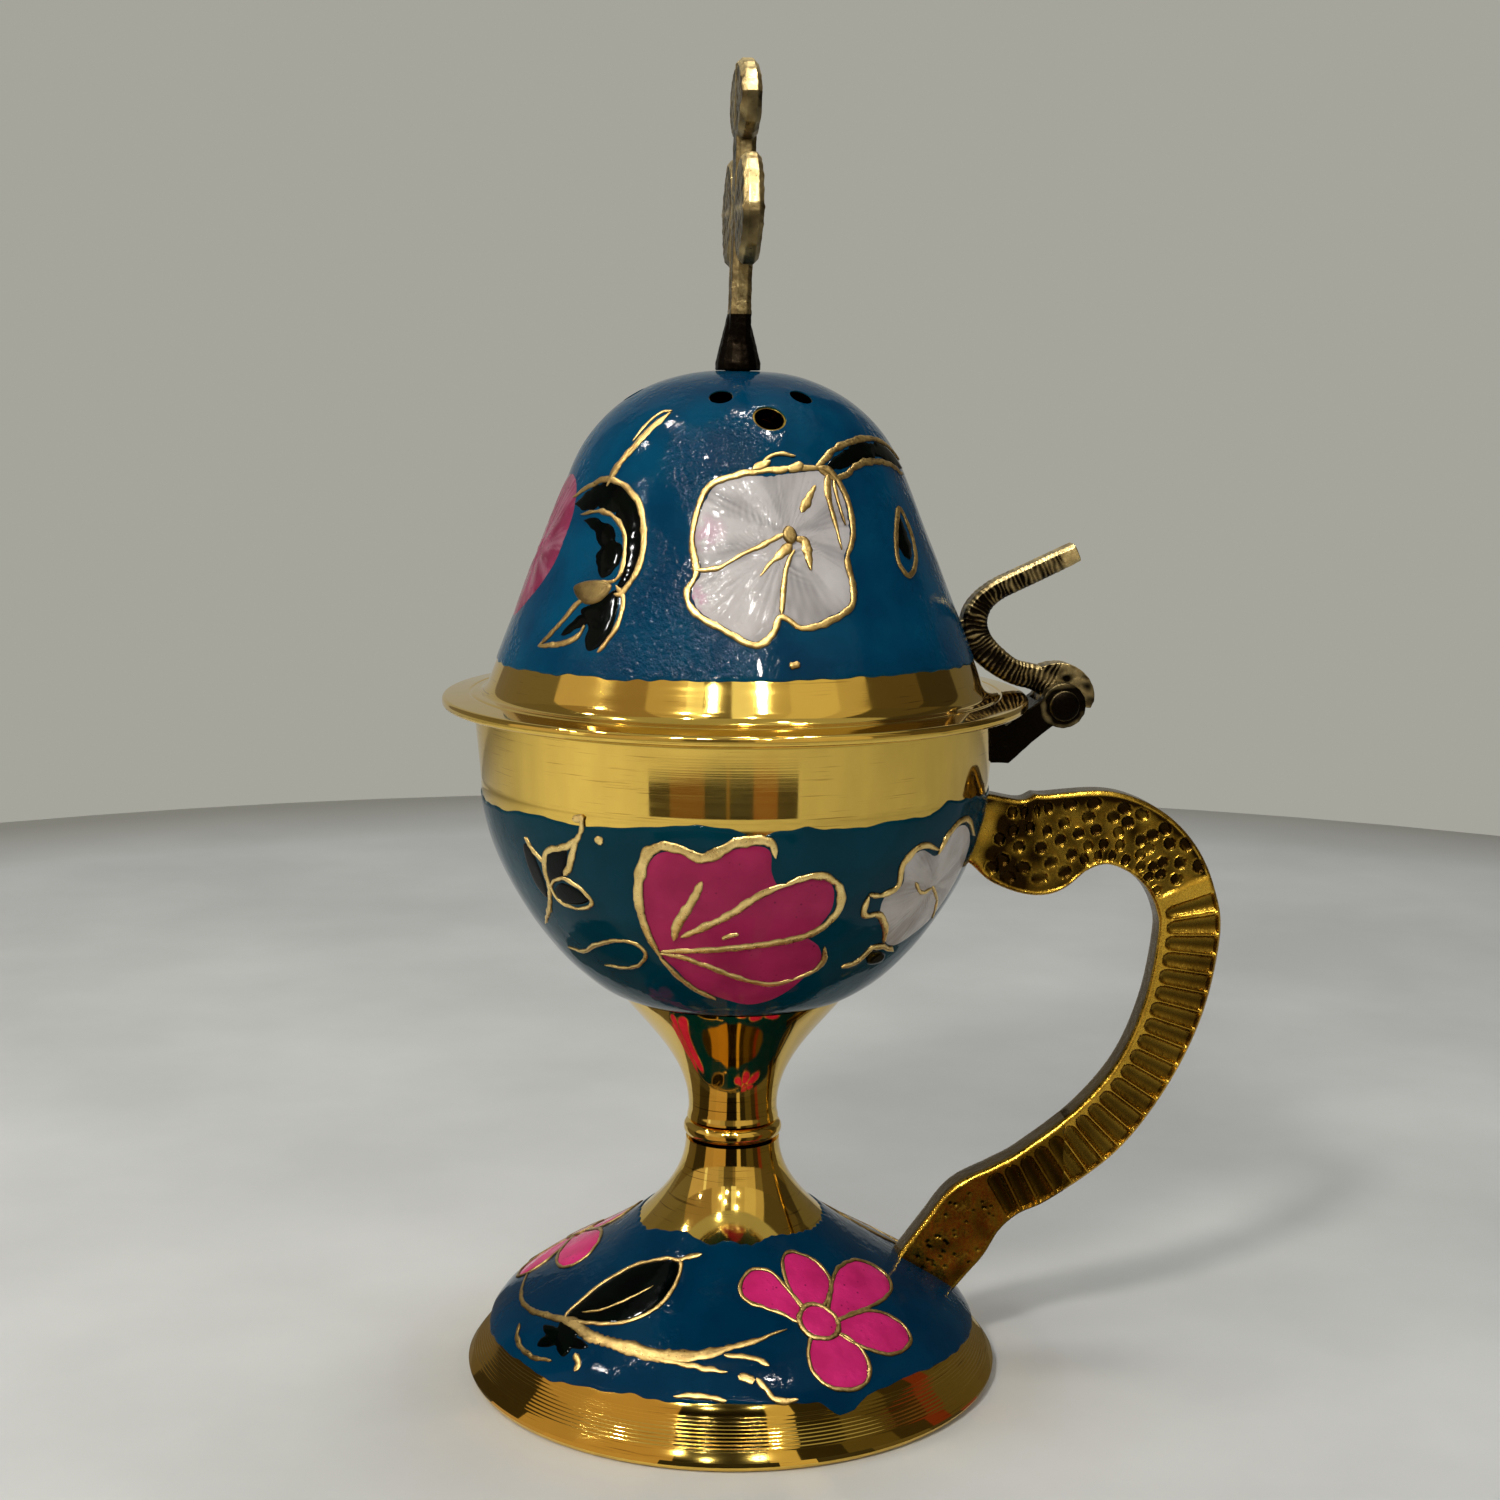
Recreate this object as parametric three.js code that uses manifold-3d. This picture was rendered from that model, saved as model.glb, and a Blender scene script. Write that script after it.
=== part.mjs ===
import * as THREE from 'three';
import { mergeVertices } from 'three/addons/utils/BufferGeometryUtils.js';
import Module from 'manifold-3d';

// Footed hand censer of enamelled brass, with a hinged lid, a thumb lever and a side handle.
// Millimetres, +Z up. The bowl's axis is upright, the handle points along +X.
// Pieces are built round the bowl's axis, and the whole censer is centred at the end.

const wasm = await Module();
wasm.setup();

// Sizes shared by all pieces
const seatGap = 0.2; // air between two pieces that seat on each other
const overrun = 3; // how far a cutter or a root runs past the surface that trims it
const turnSteps = 40; // facets round the turned bodies
const smallSteps = 16; // facets round screws, washers and pins

// Foot: a rolled lip that it rests on, a flared brass rim, an enamelled dome and a slim neck
const foot = {
  lipRadius: 35.2,
  lipHeight: 1.4,
  lipRound: 0.9,
  restWidth: 1.4,
  rimRadius: 32.4,
  rimHeight: 5.8,
  rimFlare: 1.8,
  shoulderReach: 4.2,
  waistRadius: 14.5,
  waistHeight: 18.8,
  domeReach: 8.7,
  waistReach: 3.8,
  neckRadius: 6.2,
  neckReach: 5.8,
  height: 31.2,
  wall: 1.7,
  ceilingHeight: 21.5,
  rimAngle: 122,
  rimTopAngle: 108,
  shoulderAngle: 105,
  waistAngle: 144,
};

// Bead between foot and stem
const ring = { radius: 6.5, height: 2.4 };

// Stem: a trumpet that opens under the bowl
const stem = {
  baseRadius: 6.05,
  neckRadius: 5.85,
  neckHeight: 1.4,
  neckReach: 6.9,
  mouthRadius: 15,
  mouthReach: 5,
  height: 16.2,
  wall: 1.8,
  throatHeight: 6.5,
  mouthAngle: 54,
};

// Bowl: a flat seat, a round belly, a plain band and the rim that carries the lid
const bowl = {
  seatRadius: 8,
  turnRadius: 15.4,
  turnHeight: 1.64,
  turnReachBelow: 3,
  turnReachAbove: 7,
  bandDraw: 0.8,
  bandDepth: 9.2,
  bandReach: 11.4,
  rimRadius: 33.6,
  height: 39,
  rimEdge: 0.4,
  wall: 1.7,
  turnAngle: 19.4,
};

// Pan for the embers, hung by its rim in the bowl's taper
const pan = { rimHeight: 16.6, depth: 9, floorRadius: 12.5, wall: 0.9, rimWidth: 1.6, bend: 8 };

// Tie screw down the stem, with its washers and nut
const bolt = { radius: 2.45, bore: 2.75, headRadius: 4.6, headHeight: 2.6, headCrown: 0.7, tail: 1.6 };
const slot = { width: 1.2, depth: 1.1 };
const bowlWasher = { radius: 6.5, height: 1 };
const footWasher = { radius: 5.6, height: 1 };
const footNut = { acrossFlats: 8, height: 4 };

// Lid: a brim that overhangs the bowl, a straight flank and a round crown
const lid = {
  overhang: 4.06,
  brimHeight: 1.3,
  brimCrown: 0.45,
  brimEdge: 0.45,
  setIn: 2,
  coveRadius: 1.5,
  flankRadius: 20.96,
  flankHeight: 29.9,
  flankReach: 6.4,
  crownReach: 12.4,
  height: 42.1,
  wall: 1.6,
};

// Smoke holes: three groups round the crown, each of two small holes and a larger one
const smoke = {
  groups: 3,
  firstAngle: -83.5,
  smallRing: 13.1,
  smallRadius: 1.4,
  smallSpread: 22.5,
  largeRing: 16.3,
  largeRadius: 1.8,
};

// Cross on the crown: a shaft, three pointed lobes and a tenon through the lid.
// The plate leans a little towards the hinge, in degrees.
const cross = {
  height: 38.3,
  armHeight: 19.7,
  armReach: 11.5,
  thickness: 2.7,
  bevel: 0.7,
  lean: 1.4,
  shaftWidth: 4.4,
  lobeLength: 10,
  lobeHalfWidth: 6.8,
  lobeTip: 4.5,
  tipHalfWidth: 0.6,
  footRadius: 2.9,
  footEdge: 0.9,
  footHeight: 7,
  tenonRadius: 1.5,
  tenonLength: 6.6,
  tenonBore: 1.75,
};
const crossWasher = { radius: 3.8, height: 0.8 };
const crossNut = { acrossFlats: 5.5, height: 2.6 };
// a lobe's flare: bends of its outline, as shares of its half width and length
const lobeBendShares = { flareAcross: 0.9, flareAlong: 0.1, tipAcross: 0.78, tipAlong: 0.88 };

// Hinge pin: its place from the bowl's rim, and the running fit of the lever
const pin = { reach: 9.1, drop: 0.35, radius: 1.5, runGap: 0.1, headRadius: 2, headHeight: 0.5 };

// Clevis on the bowl's band
const bracket = {
  earRadius: 3,
  earWidth: 1.6,
  sideGap: 0.25,
  slotRadius: 3.4,
  armDrop: 7.5,
  padDepth: 1.3,
  padHeight: 6.6,
  padDrop: 0.8,
};
// the arm's outline from the pin: shares of the pin's reach, and of the arm's drop
const armShares = [
  [-0.31, 0.13],
  [-0.67, -0.18],
  [-0.95, -0.46],
  [-1.5, -0.46],
  [-1.5, -0.96],
  [-0.79, -1],
  [-0.45, -0.63],
  [-0.15, -0.35],
];

// Thumb lever: a curled bar on the lid, and a cam over the hinge knuckle
const lever = {
  reach: 11.6,
  rise: 20.05,
  thickness: 2.7,
  width: 3.2,
  edge: 0.45,
  eyeRadius: 3,
  noseRadius: 4.15,
  camRadius: 5.6,
  padHeight: 3.2,
  padWidth: 2.8,
  noseAngle: -9,
  camAngle: 118,
};
// the lever's centreline from the pin: shares of its reach, its rise and its thickness
const leverShares = [
  [0.16, 0.99, 0.93],
  [-0.06, 0.93, 0.98],
  [-0.3, 0.865, 1],
  [-0.55, 0.798, 1],
  [-0.75, 0.742, 1],
  [-0.9, 0.672, 1.07],
  [-0.983, 0.59, 1.22],
  [-1, 0.5, 1.33],
  [-0.94, 0.4, 1.4],
  [-0.776, 0.302, 1.33],
  [-0.526, 0.207, 1.22],
  [-0.293, 0.172, 1.26],
  [-0.1, 0.12, 1.33],
];
const leverPadShare = 0.47; // the brazing pad's height on the lever, as a share of its rise

// Handle: a flat cast bar with a broad head, a ribbed grip and a plain lower end.
// It reaches out past the bowl's rim, and its crest lies below it.
const handle = {
  reach: 32.1,
  crestDrop: 11.8,
  width: 13.7,
  thickness: 4.2,
  edge: 0.7,
  ribs: 21,
  ribDepth: 0.75,
  ribBorder: 0.9,
};
// the handle's centreline: shares of its distance from the axis, of its crest's height and of its width
const handleShares = [
  [0.4, 0.947, 0.677],
  [0.49, 0.936, 0.696],
  [0.554, 0.912, 0.87],
  [0.622, 0.906, 1],
  [0.694, 0.927, 0.8],
  [0.767, 0.931, 0.711],
  [0.837, 0.906, 0.672],
  [0.891, 0.862, 0.635],
  [0.924, 0.804, 0.613],
  [0.934, 0.74, 0.626],
  [0.907, 0.614, 0.613],
  [0.846, 0.496, 0.584],
  [0.752, 0.396, 0.62],
  [0.629, 0.32, 0.6],
  [0.562, 0.292, 0.577],
  [0.501, 0.259, 0.672],
  [0.46, 0.211, 0.708],
  [0.431, 0.181, 0.693],
  [0.383, 0.13, 0.672],
];
const ribStartShare = 0.372;
const ribEndShare = 0.853;
// places across one rib's pitch, and how deep the scoop is there
const scoopShares = [
  [0, 0],
  [0.3, 1],
  [0.7, 1],
];

// Heights that the stack gives
const ringBase = foot.height + seatGap;
const stemBase = ringBase + ring.height + seatGap;
const bowlBase = stemBase + stem.height;
const rimTop = bowlBase + bowl.height;
const lidBase = rimTop + seatGap;
const crownTop = lidBase + lid.height;
const pinX = bowl.rimRadius + pin.reach;
const pinZ = rimTop - pin.drop;

const finishes = {
  polished: { color: 0xc8a04a, roughness: 0.18, metalness: 1 },
  antique: { color: 0x7d6230, roughness: 0.45, metalness: 1 },
  gilded: { color: 0xa67c28, roughness: 0.35, metalness: 1 },
  enamel: { color: 0x0a5a80, roughness: 0.15, metalness: 0.1 },
  steel: { color: 0x9a9a98, roughness: 0.35, metalness: 1 },
};

const point = (x, y) => new THREE.Vector2(x, y);
const radians = THREE.MathUtils.degToRad;

/** A point at `reach` from `start`, in the direction `angle` in degrees. */
function along(start, angle, reach) {
  return point(start.x + reach * Math.cos(radians(angle)), start.y + reach * Math.sin(radians(angle)));
}

/** Points of a smooth bend that leaves `start` and arrives at `end` in the given directions. */
function bend(start, startAngle, startReach, end, endAngle, endReach, steps) {
  const leave = along(start, startAngle, startReach);
  const arrive = along(end, endAngle, -endReach);
  return new THREE.CubicBezierCurve(start, leave, arrive, end).getPoints(steps);
}

/** The outline moved to its left by `distance`, square to itself. */
function moved(outline, distance) {
  return outline.map((here, index) => {
    const before = outline[Math.max(index - 1, 0)];
    const after = outline[Math.min(index + 1, outline.length - 1)];
    const run = after.clone().sub(before).normalize();
    return point(here.x - run.y * distance, here.y + run.x * distance);
  });
}

/** An outline with every second point left out, for a surface that doesn't show. */
function thinned(outline) {
  return outline.filter((here, index) => index % 2 === 0 || index === outline.length - 1);
}

/** The point where an outline crosses a level of one of its two axes. */
function crossing(outline, axis, level) {
  for (let index = 1; index < outline.length; index += 1) {
    const [low, high] = [outline[index - 1], outline[index]];
    const span = high[axis] - low[axis];
    const share = (level - low[axis]) / span;
    if (span !== 0 && share >= 0 && share <= 1) return low.clone().lerp(high, share);
  }
  throw new Error(`the outline doesn't reach ${axis} ${level}`);
}

/** A solid of revolution round +Z from a closed outline of (radius, height) points. */
function turned(outline, steps = turnSteps) {
  const closed = [...outline, outline[0].clone()];
  return new THREE.LatheGeometry(closed, steps).rotateX(Math.PI / 2);
}

/** A solid that fills everything between the axis and an outline. */
function filled(outline) {
  const closed = [point(0, outline[0].y), ...outline, point(0, outline.at(-1).y)];
  return new THREE.LatheGeometry(closed, turnSteps).rotateX(Math.PI / 2);
}

/** A round disc of a given radius and height with a hole, standing on `base`. */
function washer({ radius, height }, bore, base) {
  const top = base + height;
  return turned([point(bore, base), point(radius, base), point(radius, top), point(bore, top)], smallSteps);
}

/** A flat plate of a drawn (x, z) shape, centred on the plane y = 0. */
function plate(shape, width, curveSegments = 8) {
  const geometry = new THREE.ExtrudeGeometry(shape, { depth: width, bevelEnabled: false, curveSegments });
  return geometry.rotateX(Math.PI / 2).translate(0, width / 2, 0);
}

/** A bar along Y, centred on (x, z). */
function rod(radius, length, x, z, steps = smallSteps) {
  return new THREE.CylinderGeometry(radius, radius, length, steps).translate(x, 0, z);
}

/** The manifold solid of a closed geometry. */
function solid(geometry) {
  const bare = geometry.clone();
  bare.deleteAttribute('normal');
  bare.deleteAttribute('uv');
  const merged = mergeVertices(bare);
  const corners = merged.index.array;
  const kept = [];
  for (let index = 0; index < corners.length; index += 3) {
    const [a, b, c] = corners.slice(index, index + 3);
    if (a !== b && b !== c && c !== a) kept.push(a, b, c);
  }
  const vertProperties = new Float32Array(merged.attributes.position.array);
  return new wasm.Manifold(new wasm.Mesh({ numProp: 3, vertProperties, triVerts: new Uint32Array(kept) }));
}

/** The geometry of a manifold solid. */
function geometryOf(body) {
  const mesh = body.getMesh();
  const geometry = new THREE.BufferGeometry();
  geometry.setAttribute('position', new THREE.BufferAttribute(new Float32Array(mesh.vertProperties), 3));
  geometry.setIndex(new THREE.BufferAttribute(new Uint32Array(mesh.triVerts), 1));
  geometry.computeVertexNormals();
  return geometry;
}

/** A first geometry with others joined to it and others cut away, as one solid. */
function made(first, joined = [], cutAway = []) {
  let body = solid(first);
  for (const geometry of joined) body = body.add(solid(geometry));
  for (const geometry of cutAway) body = body.subtract(solid(geometry));
  return geometryOf(body);
}

/** A named mesh of one finish. */
function piece(name, geometry, finish) {
  const mesh = new THREE.Mesh(geometry, new THREE.MeshStandardMaterial(finishes[finish]));
  mesh.name = name;
  return mesh;
}

/**
 * A closed bar along a centreline in the plane y = 0.
 * `stations` gives, for each place along it, the centre, the half width across the line in that
 * plane, and the section as [share of the half width, y] pairs in order round the bar.
 */
function swept(stations) {
  const count = stations[0].section.length;
  const vertices = [];
  stations.forEach(({ centre, halfWidth, section }, index) => {
    const before = stations[Math.max(index - 1, 0)].centre;
    const after = stations[Math.min(index + 1, stations.length - 1)].centre;
    const run = after.clone().sub(before).normalize();
    for (const [across, y] of section) {
      const offset = across * halfWidth;
      vertices.push(centre.x - run.y * offset, y, centre.y + run.x * offset);
    }
  });
  const corners = [];
  for (let row = 0; row < stations.length - 1; row += 1) {
    for (let column = 0; column < count; column += 1) {
      const here = row * count + column;
      const beside = row * count + ((column + 1) % count);
      corners.push(here, here + count, beside, beside, here + count, beside + count);
    }
  }
  const lastRow = (stations.length - 1) * count;
  for (let column = 1; column < count - 1; column += 1) {
    corners.push(0, column, column + 1);
    corners.push(lastRow, lastRow + column + 1, lastRow + column);
  }
  const geometry = new THREE.BufferGeometry();
  geometry.setAttribute('position', new THREE.Float32BufferAttribute(vertices, 3));
  geometry.setIndex(corners);
  return geometry;
}

// Outlines of the turned bodies, drawn so that the metal is on their left

function footOutline() {
  const lip = point(foot.lipRadius, foot.lipHeight);
  const rim = point(foot.rimRadius, foot.rimHeight);
  const waist = point(foot.waistRadius, foot.waistHeight);
  const neck = point(foot.neckRadius, foot.height);
  const flare = bend(lip, foot.rimAngle, foot.rimFlare, rim, foot.rimTopAngle, foot.rimFlare, 3);
  const dome = bend(rim, foot.shoulderAngle, foot.shoulderReach, waist, foot.waistAngle, foot.domeReach, 8);
  const throat = bend(waist, foot.waistAngle, foot.waistReach, neck, 90, foot.neckReach, 6);
  return [...flare, ...dome.slice(1), ...throat.slice(1)];
}

function bowlOutline() {
  const seat = point(bowl.seatRadius, bowlBase);
  const turn = point(bowl.turnRadius, bowlBase + bowl.turnHeight);
  const band = point(bowl.rimRadius - bowl.bandDraw, rimTop - bowl.bandDepth);
  const rim = point(bowl.rimRadius, rimTop - bowl.rimEdge);
  return [
    ...bend(seat, 0, bowl.turnReachBelow, turn, bowl.turnAngle, bowl.turnReachBelow, 3),
    ...bend(turn, bowl.turnAngle, bowl.turnReachAbove, band, 90, bowl.bandReach, 9).slice(1),
    rim,
  ];
}

function stemOutline(bowlUnder) {
  const base = point(stem.baseRadius, stemBase);
  const neck = point(stem.neckRadius, stemBase + stem.neckHeight);
  const mouth = crossing(moved(bowlUnder, -seatGap), 'x', stem.mouthRadius);
  return [base, ...bend(neck, 90, stem.neckReach, mouth, stem.mouthAngle, stem.mouthReach, 8)];
}

function lidOutline() {
  const brimRadius = bowl.rimRadius + lid.overhang;
  const footRadius = bowl.rimRadius - lid.setIn;
  const brimTop = lidBase + lid.brimHeight;
  const coveTop = point(footRadius, brimTop + lid.brimCrown + lid.coveRadius);
  const coveFoot = point(footRadius + lid.coveRadius, brimTop + lid.brimCrown);
  const flank = point(lid.flankRadius, lidBase + lid.flankHeight);
  const crown = point(cross.tenonBore, crownTop);
  const flankAngle = THREE.MathUtils.radToDeg(flank.clone().sub(coveTop).angle());
  return [
    point(brimRadius - lid.brimEdge, lidBase),
    point(brimRadius, lidBase + lid.brimEdge),
    point(brimRadius, brimTop - lid.brimEdge),
    point(brimRadius - lid.brimEdge, brimTop),
    ...bend(coveFoot, 180, lid.coveRadius / 2, coveTop, flankAngle, lid.coveRadius / 2, 2),
    coveTop.clone().lerp(flank, 1 / 2),
    ...bend(flank, flankAngle, lid.flankReach, crown, 180, lid.crownReach - cross.tenonBore, 7),
  ];
}

const footOuter = footOutline();
const bowlOuter = bowlOutline();
const bowlInner = moved(thinned(bowlOuter), bowl.wall);
const stemOuter = stemOutline(bowlOuter);
const lidOuter = lidOutline();
// the lid's inside follows its cove, flank and crown, which begin after the brim's four points
const lidInner = moved(thinned(lidOuter.slice(4)), lid.wall);

// The base: foot, bead, stem and bowl on one screw

function makeFoot() {
  const inside = moved(thinned(footOuter), foot.wall);
  const ceiling = crossing(inside, 'y', foot.ceilingHeight);
  const vault = inside.filter(({ y }) => y > foot.lipHeight + foot.wall && y < foot.ceilingHeight);
  const rest = point(foot.lipRadius - foot.lipRound, 0);
  return turned([
    point(rest.x - foot.restWidth, 0),
    ...bend(rest, 0, foot.lipRound / 2, footOuter[0], 90, foot.lipHeight / 2, 3),
    ...footOuter.slice(1),
    point(bolt.bore, foot.height),
    point(bolt.bore, foot.ceilingHeight),
    ceiling,
    ...vault.reverse(),
  ]);
}

function makeRing() {
  const half = ring.height / 2;
  const centre = point(ring.radius - half, ringBase + half);
  const bead = [-72, -36, 0, 36, 72].map((angle) => along(centre, angle, half));
  const top = ringBase + ring.height;
  const edge = centre.x;
  return turned([
    point(bolt.bore, ringBase),
    point(edge, ringBase),
    ...bead,
    point(edge, top),
    point(bolt.bore, top),
  ]);
}

function makeStem() {
  const mouth = stemOuter.at(-1);
  const lipInner = crossing(moved(bowlOuter, -seatGap), 'x', stem.mouthRadius - stem.wall);
  const throat = stemBase + stem.throatHeight;
  const inside = moved(thinned(stemOuter), stem.wall);
  const funnel = inside.filter(({ x, y }) => y > throat && x < lipInner.x && y < lipInner.y);
  return turned([
    point(bolt.bore, stemBase),
    ...stemOuter.slice(0, -1),
    mouth,
    lipInner,
    ...funnel.reverse(),
    point(bolt.bore, throat),
  ]);
}

function makeBowl() {
  const floor = bowlInner.map((here) => here.clone());
  floor[0].x = bowl.seatRadius;
  return turned([
    point(bolt.bore, bowlBase),
    ...bowlOuter,
    point(bowl.rimRadius - bowl.rimEdge, rimTop),
    point(floor.at(-1).x, rimTop),
    ...floor.reverse(),
    point(bolt.bore, bowlBase + bowl.wall),
  ]);
}

function makePan() {
  const rimZ = bowlBase + pan.rimHeight;
  const rimRadius = crossing(bowlInner, 'y', rimZ).x - seatGap;
  const floorZ = rimZ - pan.depth;
  const lip = point(rimRadius - pan.rimWidth, rimZ);
  const wallOuter = bend(point(pan.floorRadius, floorZ), 0, pan.bend, lip, 90, pan.bend / 2, 4);
  const wallInner = moved(wallOuter, pan.wall);
  return turned([
    point(0, floorZ),
    ...wallOuter,
    point(rimRadius, rimZ),
    point(rimRadius, rimZ + pan.wall),
    point(wallInner.at(-1).x, rimZ + pan.wall),
    ...wallInner.slice(0, -1).reverse(),
    point(0, floorZ + pan.wall),
  ]);
}

// The tie screw and what it draws together

const bowlWasherBase = bowlBase + bowl.wall + seatGap;
const headBase = bowlWasherBase + bowlWasher.height + seatGap;
const footWasherBase = foot.ceilingHeight - seatGap - footWasher.height;
const footNutBase = footWasherBase - seatGap - footNut.height;

function makeBolt() {
  const tail = footNutBase - bolt.tail;
  const headTop = headBase + bolt.headHeight;
  const shank = new THREE.LatheGeometry([
    point(0, tail),
    point(bolt.radius, tail),
    point(bolt.radius, headBase),
    point(bolt.headRadius, headBase),
    point(bolt.headRadius, headTop - bolt.headCrown),
    point(bolt.headRadius - bolt.headCrown, headTop),
    point(0, headTop),
  ], smallSteps).rotateX(Math.PI / 2);
  const groove = new THREE.BoxGeometry(2 * bolt.headRadius + overrun, slot.width, 2 * slot.depth);
  return made(shank, [], [groove.translate(0, 0, headTop)]);
}

/** A hexagon nut standing on `base`. */
function makeNut({ acrossFlats, height }, bore, base) {
  const cornerRadius = acrossFlats / 2 / Math.cos(Math.PI / 6);
  const blank = new THREE.CylinderGeometry(cornerRadius, cornerRadius, height, 6);
  const hole = new THREE.CylinderGeometry(bore, bore, height + overrun, smallSteps);
  const middle = base + height / 2;
  return made(
    blank.rotateX(Math.PI / 2).translate(0, 0, middle),
    [],
    [hole.rotateX(Math.PI / 2).translate(0, 0, middle)],
  );
}

// The lid with its smoke holes

function smokeDrill(ringRadius, radius, angle) {
  const here = crossing(lidOuter, 'x', ringRadius);
  const inner = crossing(lidInner, 'x', ringRadius - lid.wall / 2);
  const slope = here.clone().sub(inner).angle();
  const drill = new THREE.CylinderGeometry(radius, radius, 2 * (lid.wall + overrun), 12);
  drill.rotateZ(slope - Math.PI / 2);
  drill.rotateX(Math.PI / 2);
  drill.translate(here.x, 0, here.y);
  return drill.rotateZ(radians(angle));
}

function makeLid() {
  const shell = turned([
    ...lidOuter,
    point(cross.tenonBore, lidInner.at(-1).y),
    ...lidInner.slice(0, -1).reverse(),
    point(lidInner[0].x, lidBase),
  ]);
  const drills = [];
  for (let group = 0; group < smoke.groups; group += 1) {
    const angle = smoke.firstAngle + (group * 360) / smoke.groups;
    drills.push(smokeDrill(smoke.smallRing, smoke.smallRadius, angle - smoke.smallSpread));
    drills.push(smokeDrill(smoke.smallRing, smoke.smallRadius, angle + smoke.smallSpread));
    drills.push(smokeDrill(smoke.largeRing, smoke.largeRadius, angle));
  }
  return made(shell, [], drills);
}

// The cross: its face looks along X, its arms reach along Y

const crossBase = crownTop + seatGap;
const crossTop = crossBase + cross.height;
const armZ = crossBase + cross.armHeight;

/** A bevelled plate of a drawn (y, z) shape, centred on the plane x = 0. */
function crossPlate(shape) {
  const depth = cross.thickness - 2 * cross.bevel;
  const options = {
    depth,
    bevelThickness: cross.bevel,
    bevelSize: cross.bevel,
    bevelOffset: -cross.bevel,
    bevelSegments: 1,
    curveSegments: 4,
  };
  const geometry = new THREE.ExtrudeGeometry(shape, options).translate(0, 0, -depth / 2);
  return geometry.rotateX(Math.PI / 2).rotateZ(Math.PI / 2);
}

/** One pointed lobe, drawn from its waist at the origin towards +y. */
function lobeShape() {
  const half = cross.lobeHalfWidth;
  const shoulder = cross.lobeLength - cross.lobeTip;
  const waist = cross.shaftWidth / 2;
  const flare = [half * lobeBendShares.flareAcross, cross.lobeLength * lobeBendShares.flareAlong];
  const round = [half * lobeBendShares.tipAcross, cross.lobeLength * lobeBendShares.tipAlong];
  const shape = new THREE.Shape();
  shape.moveTo(-waist, 0);
  shape.lineTo(waist, 0);
  shape.quadraticCurveTo(flare[0], flare[1], half, shoulder);
  shape.quadraticCurveTo(round[0], round[1], cross.tipHalfWidth, cross.lobeLength);
  shape.lineTo(-cross.tipHalfWidth, cross.lobeLength);
  shape.quadraticCurveTo(-round[0], round[1], -half, shoulder);
  shape.quadraticCurveTo(-flare[0], flare[1], -waist, 0);
  return shape;
}

function makeCross() {
  const half = cross.shaftWidth / 2;
  const lean = radians(cross.lean);
  const shaft = new THREE.Shape();
  shaft.moveTo(-half, crossBase + cross.footEdge);
  shaft.lineTo(half, crossBase + cross.footEdge);
  shaft.lineTo(half, crossTop - cross.lobeTip);
  shaft.lineTo(-half, crossTop - cross.lobeTip);
  const tips = [cross.armReach, cross.height - cross.armHeight, cross.armReach];
  const plates = tips.map((tip, index) => {
    const lobe = crossPlate(lobeShape()).translate(0, 0, tip - cross.lobeLength);
    return lobe.rotateX(((index - 1) * Math.PI) / 2).translate(0, 0, armZ);
  });
  plates.push(crossPlate(shaft));
  for (const geometry of plates) {
    geometry.translate(0, 0, -crossBase).rotateY(lean).translate(0, 0, crossBase);
  }
  const base = new THREE.LatheGeometry([
    point(0, crossBase - cross.tenonLength),
    point(cross.tenonRadius, crossBase - cross.tenonLength),
    point(cross.tenonRadius, crossBase),
    point(cross.footRadius, crossBase),
    point(cross.footRadius, crossBase + cross.footEdge),
    point(cross.thickness / 2, crossBase + cross.footHeight),
    point(0, crossBase + cross.footHeight),
  ], smallSteps).rotateX(Math.PI / 2);
  return made(base, plates);
}

const crownUnder = crossing(lidInner, 'x', crossWasher.radius).y;
const crossWasherBase = crownUnder - seatGap - crossWasher.height;
const crossNutBase = crossWasherBase - seatGap - crossNut.height;

// The hinge: a clevis on the bowl, a riveted pin and the lever on the lid

const hingeWidth = lever.width + 2 * (bracket.sideGap + bracket.earWidth);
const pinBore = pin.radius + pin.runGap;

function makeBracket() {
  const corners = armShares.map(([x, z]) => point(pinX + x * pin.reach, pinZ + z * bracket.armDrop));
  const padLength = overrun + bracket.padDepth;
  const pad = new THREE.BoxGeometry(padLength, hingeWidth, bracket.padHeight);
  pad.translate(
    bowl.rimRadius + bracket.padDepth - padLength / 2,
    0,
    pinZ - bracket.padDrop - bracket.padHeight / 2,
  );
  return made(
    plate(new THREE.Shape(corners), hingeWidth),
    [pad, rod(bracket.earRadius, hingeWidth, pinX, pinZ)],
    [
      rod(bracket.slotRadius, lever.width + 2 * bracket.sideGap, pinX, pinZ),
      rod(pinBore, hingeWidth + overrun, pinX, pinZ),
      filled(moved(bowlOuter, -seatGap)),
    ],
  );
}

function makePin() {
  const half = hingeWidth / 2 + seatGap;
  const end = half + pin.headHeight;
  const outline = [
    point(0, -end),
    point(pin.radius, -end),
    point(pin.headRadius, -half),
    point(pin.radius, -half),
    point(pin.radius, half),
    point(pin.headRadius, half),
    point(pin.radius, end),
    point(0, end),
  ];
  return new THREE.LatheGeometry(outline, smallSteps).translate(pinX, 0, pinZ);
}

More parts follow.
